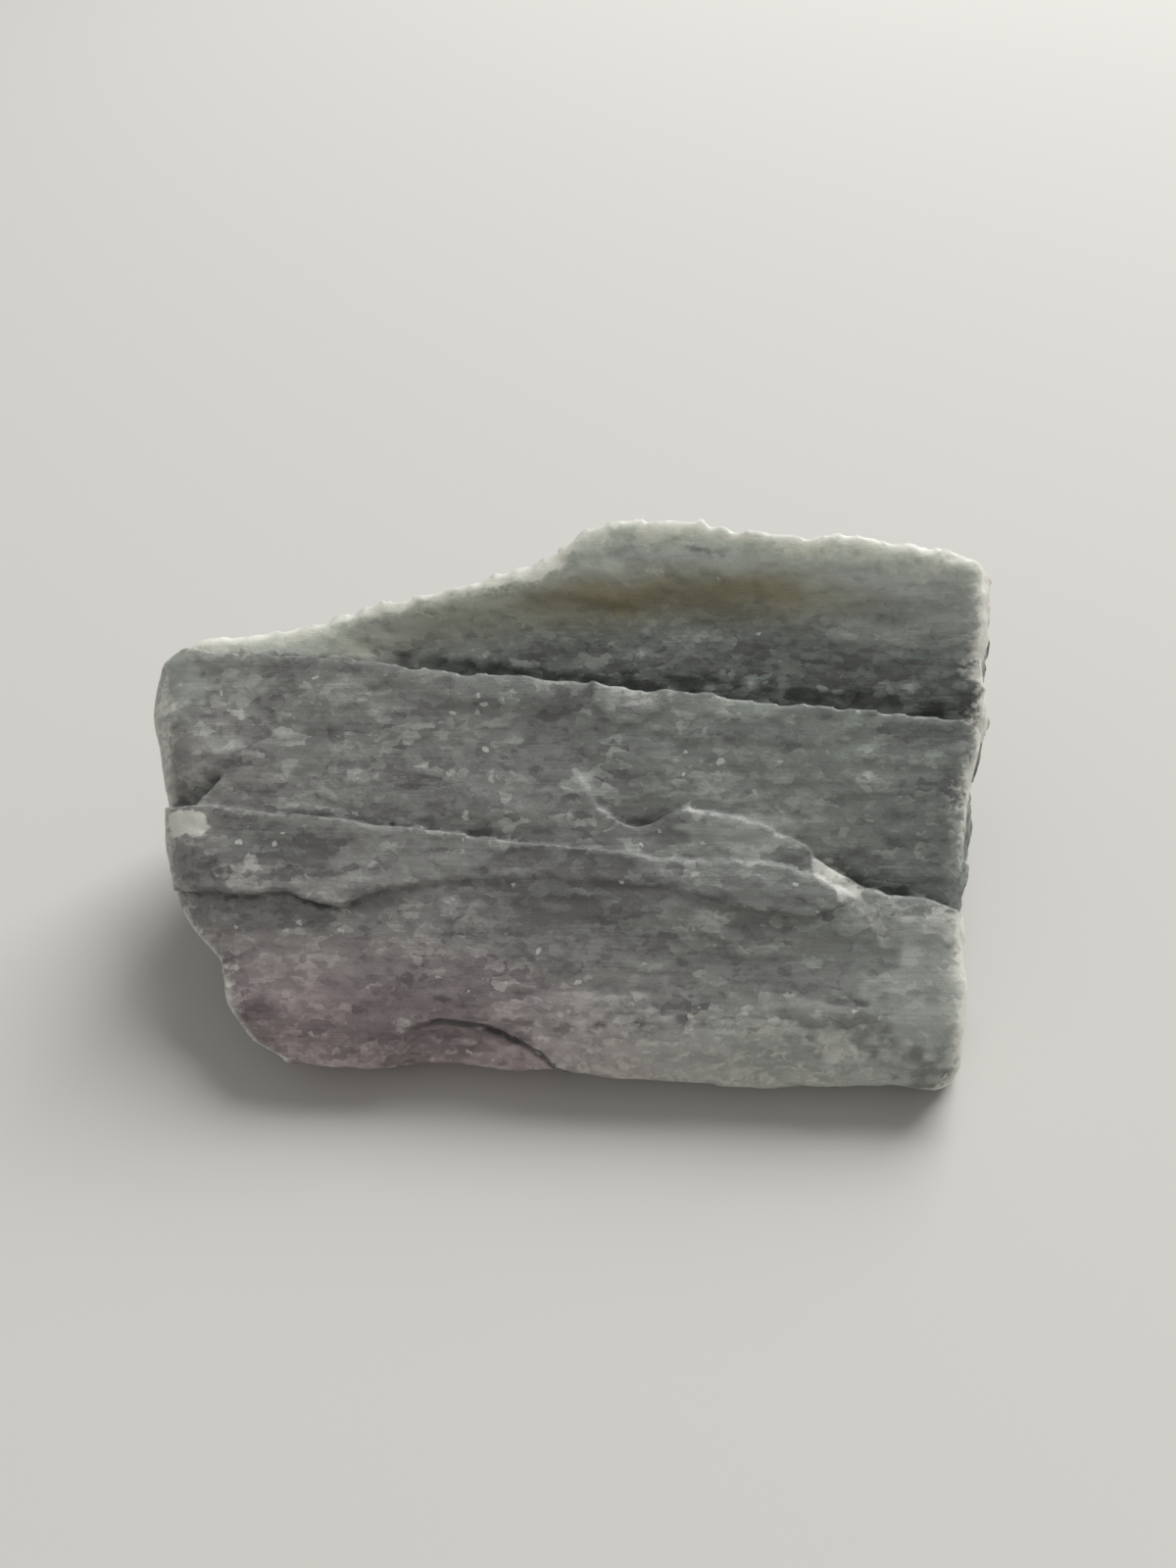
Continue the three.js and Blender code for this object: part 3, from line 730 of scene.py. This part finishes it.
def thin_out(stone):
    """Fewer triangles on the sides and the underside, where the surface is plainer."""
    mesh = stone.data
    triangles = sum(len(p.vertices) - 2 for p in mesh.polygons)
    if triangles <= MAX_TRIANGLES:
        return
    _, _, w, _, _ = to_face(mesh_points(mesh))
    group = stone.vertex_groups.new(name="plain sides")
    group.add([int(i) for i in np.flatnonzero(w < PLAIN_BELOW)], 1.0, "REPLACE")
    thinner = stone.modifiers.new("thin out plain sides", "DECIMATE")
    thinner.ratio = MAX_TRIANGLES / triangles
    thinner.vertex_group = group.name
    thinner.vertex_group_factor = 1.5
    with bpy.context.temp_override(object=stone, active_object=stone):
        bpy.ops.object.modifier_apply(modifier=thinner.name)
    points = inside_solid_box(mesh_points(stone.data))
    stone.data.vertices.foreach_set("co", points.astype(np.float32).ravel())
    stone.data.update()


def drop_specks(mesh):
    """Leaves one closed surface: the thinning can cut single faces off, back to back."""
    stone = bmesh.new()
    stone.from_mesh(mesh)
    unseen = set(stone.verts)
    islands = []
    while unseen:
        island = [unseen.pop()]
        for vertex in island:
            for edge in vertex.link_edges:
                other = edge.other_vert(vertex)
                if other in unseen:
                    unseen.remove(other)
                    island.append(other)
        islands.append(island)
    islands.sort(key=len)
    specks = [vertex for island in islands[:-1] for vertex in island]
    bmesh.ops.delete(stone, geom=specks, context="VERTS")
    stone.to_mesh(mesh)
    stone.free()


def prominence(mesh, *rounds):
    """How far each point stands out from the surface around it, in millimetres, near and further."""
    points = mesh_points(mesh)
    edges = np.empty(len(mesh.edges) * 2, np.int32)
    mesh.edges.foreach_get("vertices", edges)
    start, end = edges.reshape(-1, 2).T
    start, end = np.append(start, end), np.append(end, start)
    normals = np.empty(len(mesh.vertices) * 3, np.float32)
    mesh.vertices.foreach_get("normal", normals)
    count = np.bincount(start, minlength=len(points))
    around = [axis.copy() for axis in points.T]
    proud = []
    for turn in range(max(rounds)):
        around = [np.bincount(start, axis[end], len(points)) / count for axis in around]
        if turn + 1 in rounds:
            proud.append(((points - np.stack(around, 1)) * normals.reshape(-1, 3)).sum(1) / MM)
    return proud


# ---------------------------------------------------------------- where the colours lie


def stroke(path, width, u, v):
    """A soft line through (u, v) points."""
    amount = 0
    for (u0, v0), (u1, v1) in zip(path, path[1:]):
        length = math.hypot(u1 - u0, v1 - v0)
        along = ((u - u0) * (u1 - u0) + (v - v0) * (v1 - v0)) / length**2
        along = np.clip(along, 0, 1)
        distance = np.hypot(u - u0 - along * (u1 - u0), v - v0 - along * (v1 - v0))
        amount = np.maximum(amount, smooth(width, width * 0.4, distance))
    return amount


def along_edges(edges, u, v):
    """Soft bands that start sharply at an edge and fade away from it on one side."""
    amount = 0
    for edge, side, width, reach, strength in edges:
        away = side * (v - ragged(edge, u))
        band = smooth(-0.3, 0.1, away) * np.exp(-np.maximum(away - width, 0) / reach)
        amount = np.maximum(amount, band * line(strength, u))
    return amount


def pale_and_glowing_edges(u, v, y, z, below, patchy):
    """The thin and worn edges of the face, painted pale as a glow of light through them: its rim, the
    bevel of the sheet and both ends.
    """
    to_back = np.maximum(back(u, z) - y, 0)
    to_right = np.maximum(right_end(y, z) - u, 0)
    to_left = np.maximum(u + left_end(y, z), 0)
    rim = np.exp(-((np.hypot(to_back, 1.1 * below) / (1.9 + 2.4 * patchy)) ** 1.5))
    bevel = smooth(-0.4, 0.3, past_bevel(u, v)) * smooth(2.5, 0.8, below)
    bevel = bevel * (0.7 + 0.3 * patchy) * mix(0.75, 1, smooth(8, 0, u))
    left = (0.55 + 0.4 * patchy) * np.exp(-((np.hypot(to_left, below) / 2.1) ** 1.5))
    right = np.exp(-to_right / (1.3 + 1.4 * patchy) - ((below / (2.2 + 2.0 * patchy)) ** 1.5))
    return np.maximum(np.maximum(rim, bevel), np.maximum(left, right))


def dirt_and_shade(u, v, under_chip):
    """Painted shade along the foot of each step, in the notch and under the chip's rim, and dirt in the
    crack.
    """
    steps = along_edges(SHADED_FEET, u, v) * (0.75 + 0.25 * noise(u / 1.9, v / 1.1, 211))
    chip = 0.8 * stroke(CHIP_RIM, 1.4, u, v) * under_chip * smooth(-20, -13, u)
    crack = 0.4 * stroke(HAIRLINE, 0.5, u, v)
    return np.maximum(np.maximum(steps, 0.55 * notch(u, v)), np.maximum(chip, crack))


def paint(mesh):
    """Writes how strongly each colour of the stone shows at each point, as the marks."""
    u, v, w, y, z = to_face(mesh_points(mesh))
    along, across, seed = PATCHES
    patchy = 0.5 + 0.5 * noise(u / along, v / across, seed)
    on_face = smooth(*FACE_FADE, w)
    past_crease = smooth(-0.5, 0.5, v - line(CREASE, u))
    behind = past_crease * on_face
    below = np.maximum(relief(u, v) - w - sheet_depth(u, v) * past_crease, 0)
    # Painted glow: thin and worn edges are painted pale where light would come through them.
    edge = pale_and_glowing_edges(u, v, y, z, below, patchy)
    edge = np.maximum(edge, spots(WORN_AND_GLOWING, u, v) * on_face)
    to_back = np.maximum(back(u, z) - y, 0)
    # Painted glow: the sheet is painted paler green towards its thin rim, partly its own colour.
    mint_glow = np.exp(-((to_back / (10 + 3 * patchy)) ** 1.8)) * behind * smooth(-13, -5, w)
    mint_glow = mint_glow * line(MINT_GLOW_STRENGTH, u)
    mint_glow = np.maximum(mint_glow, 0.45 * spots(CLEAN_BREAK, u, v) * on_face)
    brown = line(BROWN_STRENGTH, u) * np.exp(-(((v - line(BROWN, u)) / BROWN_REACH) ** 2))
    green = smooth(-70, 80, u + 1.2 * (v - 20)) * (0.5 + 0.3 * on_face)
    under_chip = smooth(0.15, -0.1, v - line(CHIP_RIM, u))
    # Painted highlight along the lip above the chip's rim.
    chip_lip_highlight = 0.5 * stroke(CHIP_RIM, 1.8, u, v - 1) * (1 - under_chip)
    in_chip = smooth(1, 0.9, np.hypot((u - CHIP[0]) / CHIP[2], (v - CHIP[1]) / CHIP[3]))
    low_sheet = smooth(13, 4, v - line(CREASE, u)) * behind
    bruise_and_highlight = np.maximum(spots(WHITE, u, v), 0.8 * stroke(SEAM, 1.3, u, v))
    near, wide = prominence(mesh, 4, 24)
    marks = {
        "pale_edge_glow": edge,
        "mint_glow": mint_glow,
        # Painted shade along the steps, in the notch and under the chip's rim.
        "painted_shade_at_foot": dirt_and_shade(u, v, under_chip) * on_face,
        "brown": brown * (0.6 + 0.4 * patchy) * behind,
        "green": np.maximum(green, spots(GREEN, u, v) * on_face),
        # Painted bounce light: the nose and the lower left of the face are tinted pink as warm light
        # from below would tint them; the chip is pink too.
        "blush_and_bounce_light": np.maximum(smooth(20, -8, v) * smooth(40, -25, u), in_chip * on_face),
        "bruise_and_highlight": bruise_and_highlight * on_face,
        # Painted highlight along the lips of the steps and the chip's rim, partly bruised.
        "lip_highlight": np.maximum(along_edges(LIP_HIGHLIGHTS, u, v), chip_lip_highlight) * on_face,
        "mottle": 0.75 + 0.5 * low_sheet - 0.05 * mint_glow,
        "clear": spots(DARKER_PATCHES, u, v) * on_face,
        "pale_and_lit": spots(PALE_AND_LIT, u, v) * on_face,
        "tone": 0.5 + 0.5 * flakes(u, v)[1] * on_face,
        "prominence": near,
        "openness": wide,
    }
    for name in MARKS:
        attribute = mesh.attributes.new(name, "FLOAT", "POINT")
        attribute.data.foreach_set("value", np.asarray(marks[name], np.float32))


# ---------------------------------------------------------------- materials


def srgb(code):
    """An sRGB hex colour as linear red, green and blue."""
    parts = [int(code[n : n + 2], 16) / 255 for n in (1, 3, 5)]
    return tuple(p / 12.92 if p <= 0.04045 else ((p + 0.055) / 1.055) ** 2.4 for p in parts)


def rgba(colour):
    return (*colour, 1.0)


def node(tree, kind, inputs=(), **settings):
    """Adds a node with its settings, and gives each named input a value or a link."""
    made = tree.nodes.new(kind)
    for name, value in settings.items():
        setattr(made, name, value)
    for key, value in dict(inputs).items():
        if isinstance(value, bpy.types.NodeSocket):
            tree.links.new(value, made.inputs[key])
        else:
            made.inputs[key].default_value = value
    return made


def per_size(size):
    """The scale at which a size, in millimetres along, across and into the face, is one unit."""
    return tuple(1 / (part * MM) for part in size)


def broken_quartzite(finish):
    """Aventurine quartzite, split along its layers and broken across them, never polished.

    Interlocking quartz grains of 1 to 2 mm give a mottled, sugary and faintly waxy surface. Light
    goes a few millimetres into it, so that thin edges look pale, and fuchsite mica tints it green.
    """
    material = bpy.data.materials.new("aventurine quartzite, split and broken")
    material.use_nodes = True
    tree = material.node_tree
    tree.nodes.clear()
    place = node(tree, "ShaderNodeTexCoord").outputs["Object"]
    face = node(tree, "ShaderNodeMapping", {"Vector": place, "Rotation": (-FACE_ANGLE, 0, 0)}).outputs[0]
    mark = {}
    for name in MARKS:
        mark[name] = node(tree, "ShaderNodeAttribute", attribute_name=name).outputs["Fac"]

    def cloud(size, detail=2.0, offset=0.0):
        """Soft patches of one size."""
        inputs = {"Vector": face, "Scale": per_size(size)}
        scaled = node(tree, "ShaderNodeMapping", inputs).outputs[0]
        inputs = {"Vector": scaled, "W": offset, "Scale": 1.0, "Detail": detail, "Roughness": 0.55}
        return node(tree, "ShaderNodeTexNoise", inputs, noise_dimensions="4D").outputs[0]

    def crystals(size, vector):
        """Grains of one size: three random numbers for each, and its middle in units of that size."""
        inputs = {"Vector": vector, "Scale": per_size(size)}
        scaled = node(tree, "ShaderNodeMapping", inputs).outputs[0]
        found = node(tree, "ShaderNodeTexVoronoi", {"Vector": scaled, "Scale": 1.0}).outputs
        return node(tree, "ShaderNodeSeparateColor", {0: found["Color"]}).outputs, found["Position"]

    def sums(*terms):
        """The sum of (value, factor) pairs and of a last plain number."""
        total = terms[-1]
        for value, factor in terms[:-1]:
            inputs = {0: value, 1: factor, 2: total}
            total = node(tree, "ShaderNodeMath", inputs, operation="MULTIPLY_ADD").outputs[0]
        return total

    inputs = {"Vector": face, "Scale": WANDER_DENSITY / MM, "Detail": 2.0}
    wander = node(tree, "ShaderNodeTexNoise", inputs).outputs[1]
    inputs = {0: wander, 1: (GRAIN_WANDER * MM,) * 3, 2: face}
    bent = node(tree, "ShaderNodeVectorMath", inputs, operation="MULTIPLY_ADD").outputs[0]
    grain, middle = crystals(GRAIN, bent)
    inputs = {0: middle, 1: tuple(part * MM for part in GRAIN)}
    middle = node(tree, "ShaderNodeVectorMath", inputs, operation="MULTIPLY").outputs[0]
    plate, _ = crystals(GRAIN_PLATE, middle)
    layer, _ = crystals(GRAIN_LAYER, middle)
    shard, _ = crystals(SHARD, bent)

    # Plates of clear quartz look dark and cloudy ones pale. Their outlines run from grain to grain.
    tone = sums(
        (plate[0], 0.5), (layer[0], 0.2), (grain[0], 0.36), (shard[2], 0.16), (mark["tone"], 0.4),
        (cloud(CLOUD), 0.6), (cloud(STREAK, 1.0, 3.0), 0.45),
        (mark["clear"], -0.5), (mark["pale_and_lit"], 0.36), -1.36,
    )
    tone = node(tree, "ShaderNodeMath", {0: tone, 1: mark["mottle"]}, operation="MULTIPLY").outputs[0]
    # Each of these shows one grain at a time.
    crushed_and_highlit = sums(
        (mark["prominence"], 0.6), (mark["lip_highlight"], 0.45), (mark["bruise_and_highlight"], 0.85),
        (shard[0], 0.36), (grain[1], 0.36), -0.68,
    )
    rare = sums((shard[1], 1.0), (cloud(SPECK_CLOUD, 0.0, 11.0), 0.05), 0.0)
    # Painted shade at the foot of the steps, broken up grain by grain.
    ragged_painted_shade = sums((mark["painted_shade_at_foot"], 1.0), (grain[1], 0.25), -0.12)
    edge_glow = sums((mark["pale_edge_glow"], 2.3), (grain[2], 0.6), (shard[2], 0.45), -1.2)

    # The colours from the bottom up: the value that each one follows, where it starts and where it is
    # full, its colour, how much of it shows there, and whether it covers or tints what lies below.
    layers = (
        (tone, 0, -0.46, finish.clear_grain, 1, "MIX"),
        (tone, 0, 0.46, finish.pale_and_lit, 1, "MIX"),
        # Pale spots, partly cloudy quartz and partly painted light.
        (mark["pale_and_lit"], 0, 1, finish.pale_and_lit, 0.6, "MIX"),
        # Faint tints of whole regions: green where there is more fuchsite, pink in the chip, and a
        # painted glow of warm light thrown back onto the nose and the lower face.
        (mark["green"], 0, 1, finish.green, 0.9, "MULTIPLY"),
        (mark["blush_and_bounce_light"], 0, 1, finish.blush_and_bounce_light, 0.85, "MULTIPLY"),
        # Colours that lie in one place: the mint band, partly a painted glow near the thin rim, and the
        # brown stain. The clear grains still show through them.
        (mark["mint_glow"], 0, 1, finish.mint_glow, 0.85, "MIX"),
        (mark["brown"], 0, 1, finish.stain, 0.85, "MIX"),
        (tone, 0.05, -0.46, finish.clear_grain, 0.28, "MIX"),
        # Small bruises and a few single grains are white; worn edges, the lips of the steps and proud
        # points are painted pale, partly bruised and partly painted highlights.
        (crushed_and_highlit, 0, 0.75, finish.bruise_and_highlight, 0.75, "MIX"),
        (rare, 1.0235, 1.026, finish.bruise_and_highlight, 0.7, "MIX"),
        # Painted shade lies at the foot of each step and in the wide hollows.
        (ragged_painted_shade, 0.05, 1, finish.dirt_and_shade, 0.95, "MIX"),
        (mark["openness"], -0.2, -1, finish.dirt_and_shade, 0.35, "MIX"),
        # Painted glow: thin edges are painted pale, as light coming through them would look, apart from
        # the painted shade and dirt between their grains.
        (edge_glow, 0, 1.25, finish.pale_edge_glow, 0.95, "MIX"),
        (mark["prominence"], -0.06, -0.28, finish.dirt_and_shade, 0.4, "MIX"),
    )
    body = rgba(finish.body)
    for value, start, full, colour, most, how in layers:
        inputs = {0: value, 1: start, 2: full, 3: 0, 4: most}
        amount = node(tree, "ShaderNodeMapRange", inputs, interpolation_type="SMOOTHSTEP").outputs[0]
        inputs = {0: amount, 6: body, 7: rgba(colour)}
        body = node(tree, "ShaderNodeMix", inputs, data_type="RGBA", blend_type=how).outputs[2]

    # Height: every grain broke at a level of its own, with a fine sugary surface.
    height = sums(
        (grain[1], 0.7), (plate[1], 1.6),
        (cloud(FINE_STREAK, 1.0, 21.0), 0.2), (cloud(SUGAR, 2.0, 23.0), 0.4), 0.0,
    )
    inputs = {"Height": height, "Strength": 0.7, "Distance": GRAIN_RELIEF * MM}
    bump = node(tree, "ShaderNodeBump", inputs).outputs[0]

    # Single grains split flat and shine; most of the surface is dull. The thin mint sheet lets in
    # more light than the rest.
    inputs = {0: grain[2], 1: 0, 2: 1, 3: 0.4, 4: 0.75}
    roughness = node(tree, "ShaderNodeMapRange", inputs, interpolation_type="SMOOTHSTEP").outputs[0]
    inputs = {0: mark["mint_glow"], 1: 0, 2: 1, 3: 0.2, 4: 0.5}
    scattering = node(tree, "ShaderNodeMapRange", inputs, interpolation_type="SMOOTHSTEP").outputs[0]
    inputs = {
        "Base Color": body,
        "Roughness": roughness,
        "IOR": 1.544,
        "Normal": bump,
        "Subsurface Weight": scattering,
        "Subsurface Radius": (1.0, 1.05, 0.95),
        "Subsurface Scale": finish.light_reach,
    }
    shader = node(tree, "ShaderNodeBsdfPrincipled", inputs)
    node(tree, "ShaderNodeOutputMaterial", {"Surface": shader.outputs[0]})
    return material


def studio_paper(colour):
    """Matt seamless paper, which scatters light evenly and shows only soft shadows."""
    material = bpy.data.materials.new("matt studio paper")
    material.use_nodes = True
    shader = material.node_tree.nodes["Principled BSDF"]
    shader.inputs["Base Color"].default_value = rgba(colour)
    shader.inputs["Roughness"].default_value = 0.9
    return material


# ---------------------------------------------------------------- settings, operators and panel


def colour_property(name, description, code):
    return FloatVectorProperty(
        name=name, description=description, subtype="COLOR", min=0, max=1, default=srgb(code)
    )


class AventurineFinish(bpy.types.PropertyGroup):
    """Colours of the stone and how deep light goes into it."""

    body: colour_property("Body", "Grey of the plain quartz", "#898885")
    green: colour_property("Green", "Green tint of the areas with fuchsite", "#e4f3ec")
    # Cloudy grains, and also the colour of the pale spots that are partly painted light.
    pale_and_lit: colour_property("Pale grains", "Cloudy quartz grains", "#b4b3ae")
    clear_grain: colour_property("Clear grains", "Clear grains, which look darker", "#696666")
    # Partly painted glow: the pale green of the sheet near its thin rim.
    mint_glow: colour_property("Mint", "Pale green near the thin rim", "#cfd5cc")
    stain: colour_property("Stain", "Olive and brown iron stain", "#7a6d40")
    # Partly painted bounce light: the pink stands in for warm light thrown back from below.
    blush_and_bounce_light: colour_property("Blush", "Faint pink tint of the nose", "#ffe6ef")
    # Painted shade in the hollows and at the foot of the steps, and dirt in the crack.
    dirt_and_shade: colour_property("Dirt", "Dark dirt in hollows", "#1f231f")
    # Partly painted highlight: also the colour of the bright lips and proud points.
    bruise_and_highlight: colour_property("Bruise", "White bruised grains", "#d3d2cc")
    # Painted glow: the pale colour of thin and worn edges stands in for light through them.
    pale_edge_glow: colour_property("Thin edge", "Pale look of thin edges", "#dddcd3")
    light_reach: FloatProperty(
        name="Light reach",
        description="How far light goes into the stone",
        unit="LENGTH",
        default=4 * MM,
        min=0,
        precision=4,
    )


class AventurineStudio(bpy.types.PropertyGroup):
    """Floor, lights and camera."""

    floor_colour: colour_property("Floor", "Colour of the floor", "#c9c7c2")
    floor_size: FloatProperty(
        name="Floor size", description="Side of the floor", unit="LENGTH", default=4.0, min=0.5
    )
    window_power: FloatProperty(
        name="Window", description="Power of the soft light behind the stone", default=66.0, min=0
    )
    fill_power: FloatProperty(
        name="Fill", description="Power of the soft light in front", default=0.5, min=0
    )
    room_light: FloatProperty(
        name="Room", description="Strength of the even light of the room", default=0.32, min=0
    )


class AVENTURINE_OT_stone(bpy.types.Operator):
    """Build the stone with its fine surface and finish."""

    bl_idname = "aventurine.stone"
    bl_label = "Stone"

    def execute(self, context):
        mesh = stone_mesh("aventurine_lump")
        stone = bpy.data.objects.new("aventurine_lump", mesh)
        context.scene.collection.objects.link(stone)
        thin_out(stone)
        drop_specks(stone.data)
        paint(stone.data)
        stone.data.shade_smooth()
        stone.data.materials.append(broken_quartzite(context.scene.aventurine_finish))
        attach(stone, "root")
        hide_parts(NODE)
        return {"FINISHED"}


def area_light(context, name, place, size, power):
    """A square lamp that points at the stone."""
    light = bpy.data.lights.new(name, "AREA")
    light.size = size
    light.energy = power
    lamp = bpy.data.objects.new(name, light)
    context.scene.collection.objects.link(lamp)
    lamp.location = place
    lamp.rotation_euler = (Vector(STONE_MIDDLE) - Vector(place)).to_track_quat("-Z", "Y").to_euler()


def room_light(scene, strength):
    """Even, slightly warm light from all around."""
    world = bpy.data.worlds.new("room")
    world.use_nodes = True
    background = world.node_tree.nodes["Background"]
    background.inputs["Color"].default_value = rgba(ROOM_TINT)
    background.inputs["Strength"].default_value = strength
    scene.world = world


def phone_camera(scene):
    """A wide lens close above the stone, looking down at its broad face."""
    data = bpy.data.cameras.new("camera")
    data.lens = CAMERA_LENS
    data.sensor_width = CAMERA_SENSOR
    data.clip_start = 0.01
    camera = bpy.data.objects.new("camera", data)
    scene.collection.objects.link(camera)
    turn = Matrix.Rotation(CAMERA_AZIMUTH, 4, "Z")
    tilt = Matrix.Rotation(math.pi / 2 - CAMERA_PITCH, 4, "X")
    roll = Matrix.Rotation(-CAMERA_ROLL, 4, "Z")
    camera.matrix_world = Matrix.Translation(Vector(CAMERA_PLACE)) @ turn @ tilt @ roll
    scene.camera = camera


class AVENTURINE_OT_studio(bpy.types.Operator):
    """Build the floor, the lights and the camera."""

    bl_idname = "aventurine.studio"
    bl_label = "Studio"

    def execute(self, context):
        studio = context.scene.aventurine_studio
        half = studio.floor_size / 2
        corners = [(-half, -half, 0), (half, -half, 0), (half, half, 0), (-half, half, 0)]
        mesh = bpy.data.meshes.new("floor")
        mesh.from_pydata(corners, [], [(0, 1, 2, 3)])
        mesh.materials.append(studio_paper(studio.floor_colour))
        floor = bpy.data.objects.new("floor", mesh)
        context.scene.collection.objects.link(floor)
        area_light(context, "window", WINDOW_PLACE, WINDOW_SIZE, studio.window_power)
        area_light(context, "fill", FILL_PLACE, FILL_SIZE, studio.fill_power)
        room_light(context.scene, studio.room_light)
        context.scene.view_settings.view_transform = "Standard"
        phone_camera(context.scene)
        return {"FINISHED"}


class AVENTURINE_PT_panel(bpy.types.Panel):
    """Lists the pieces and their settings."""

    bl_idname = "AVENTURINE_PT_panel"
    bl_label = "Raw aventurine"
    bl_space_type = "VIEW_3D"
    bl_region_type = "UI"
    bl_category = "Aventurine"

    def draw(self, context):
        for settings, operator in (
            (context.scene.aventurine_finish, AVENTURINE_OT_stone.bl_idname),
            (context.scene.aventurine_studio, AVENTURINE_OT_studio.bl_idname),
        ):
            box = self.layout.box()
            for name in settings.__annotations__:
                box.prop(settings, name)
            box.operator(operator)


CLASSES = (
    AventurineFinish,
    AventurineStudio,
    AVENTURINE_OT_stone,
    AVENTURINE_OT_studio,
    AVENTURINE_PT_panel,
)


def register():
    for cls in CLASSES:
        bpy.utils.register_class(cls)
    bpy.types.Scene.aventurine_finish = PointerProperty(type=AventurineFinish)
    bpy.types.Scene.aventurine_studio = PointerProperty(type=AventurineStudio)


def unregister():
    del bpy.types.Scene.aventurine_studio
    del bpy.types.Scene.aventurine_finish
    for cls in reversed(CLASSES):
        bpy.utils.unregister_class(cls)


def main():
    register()
    bpy.ops.aventurine.stone()
    bpy.ops.aventurine.studio()


if __name__ == "__main__":
    main()
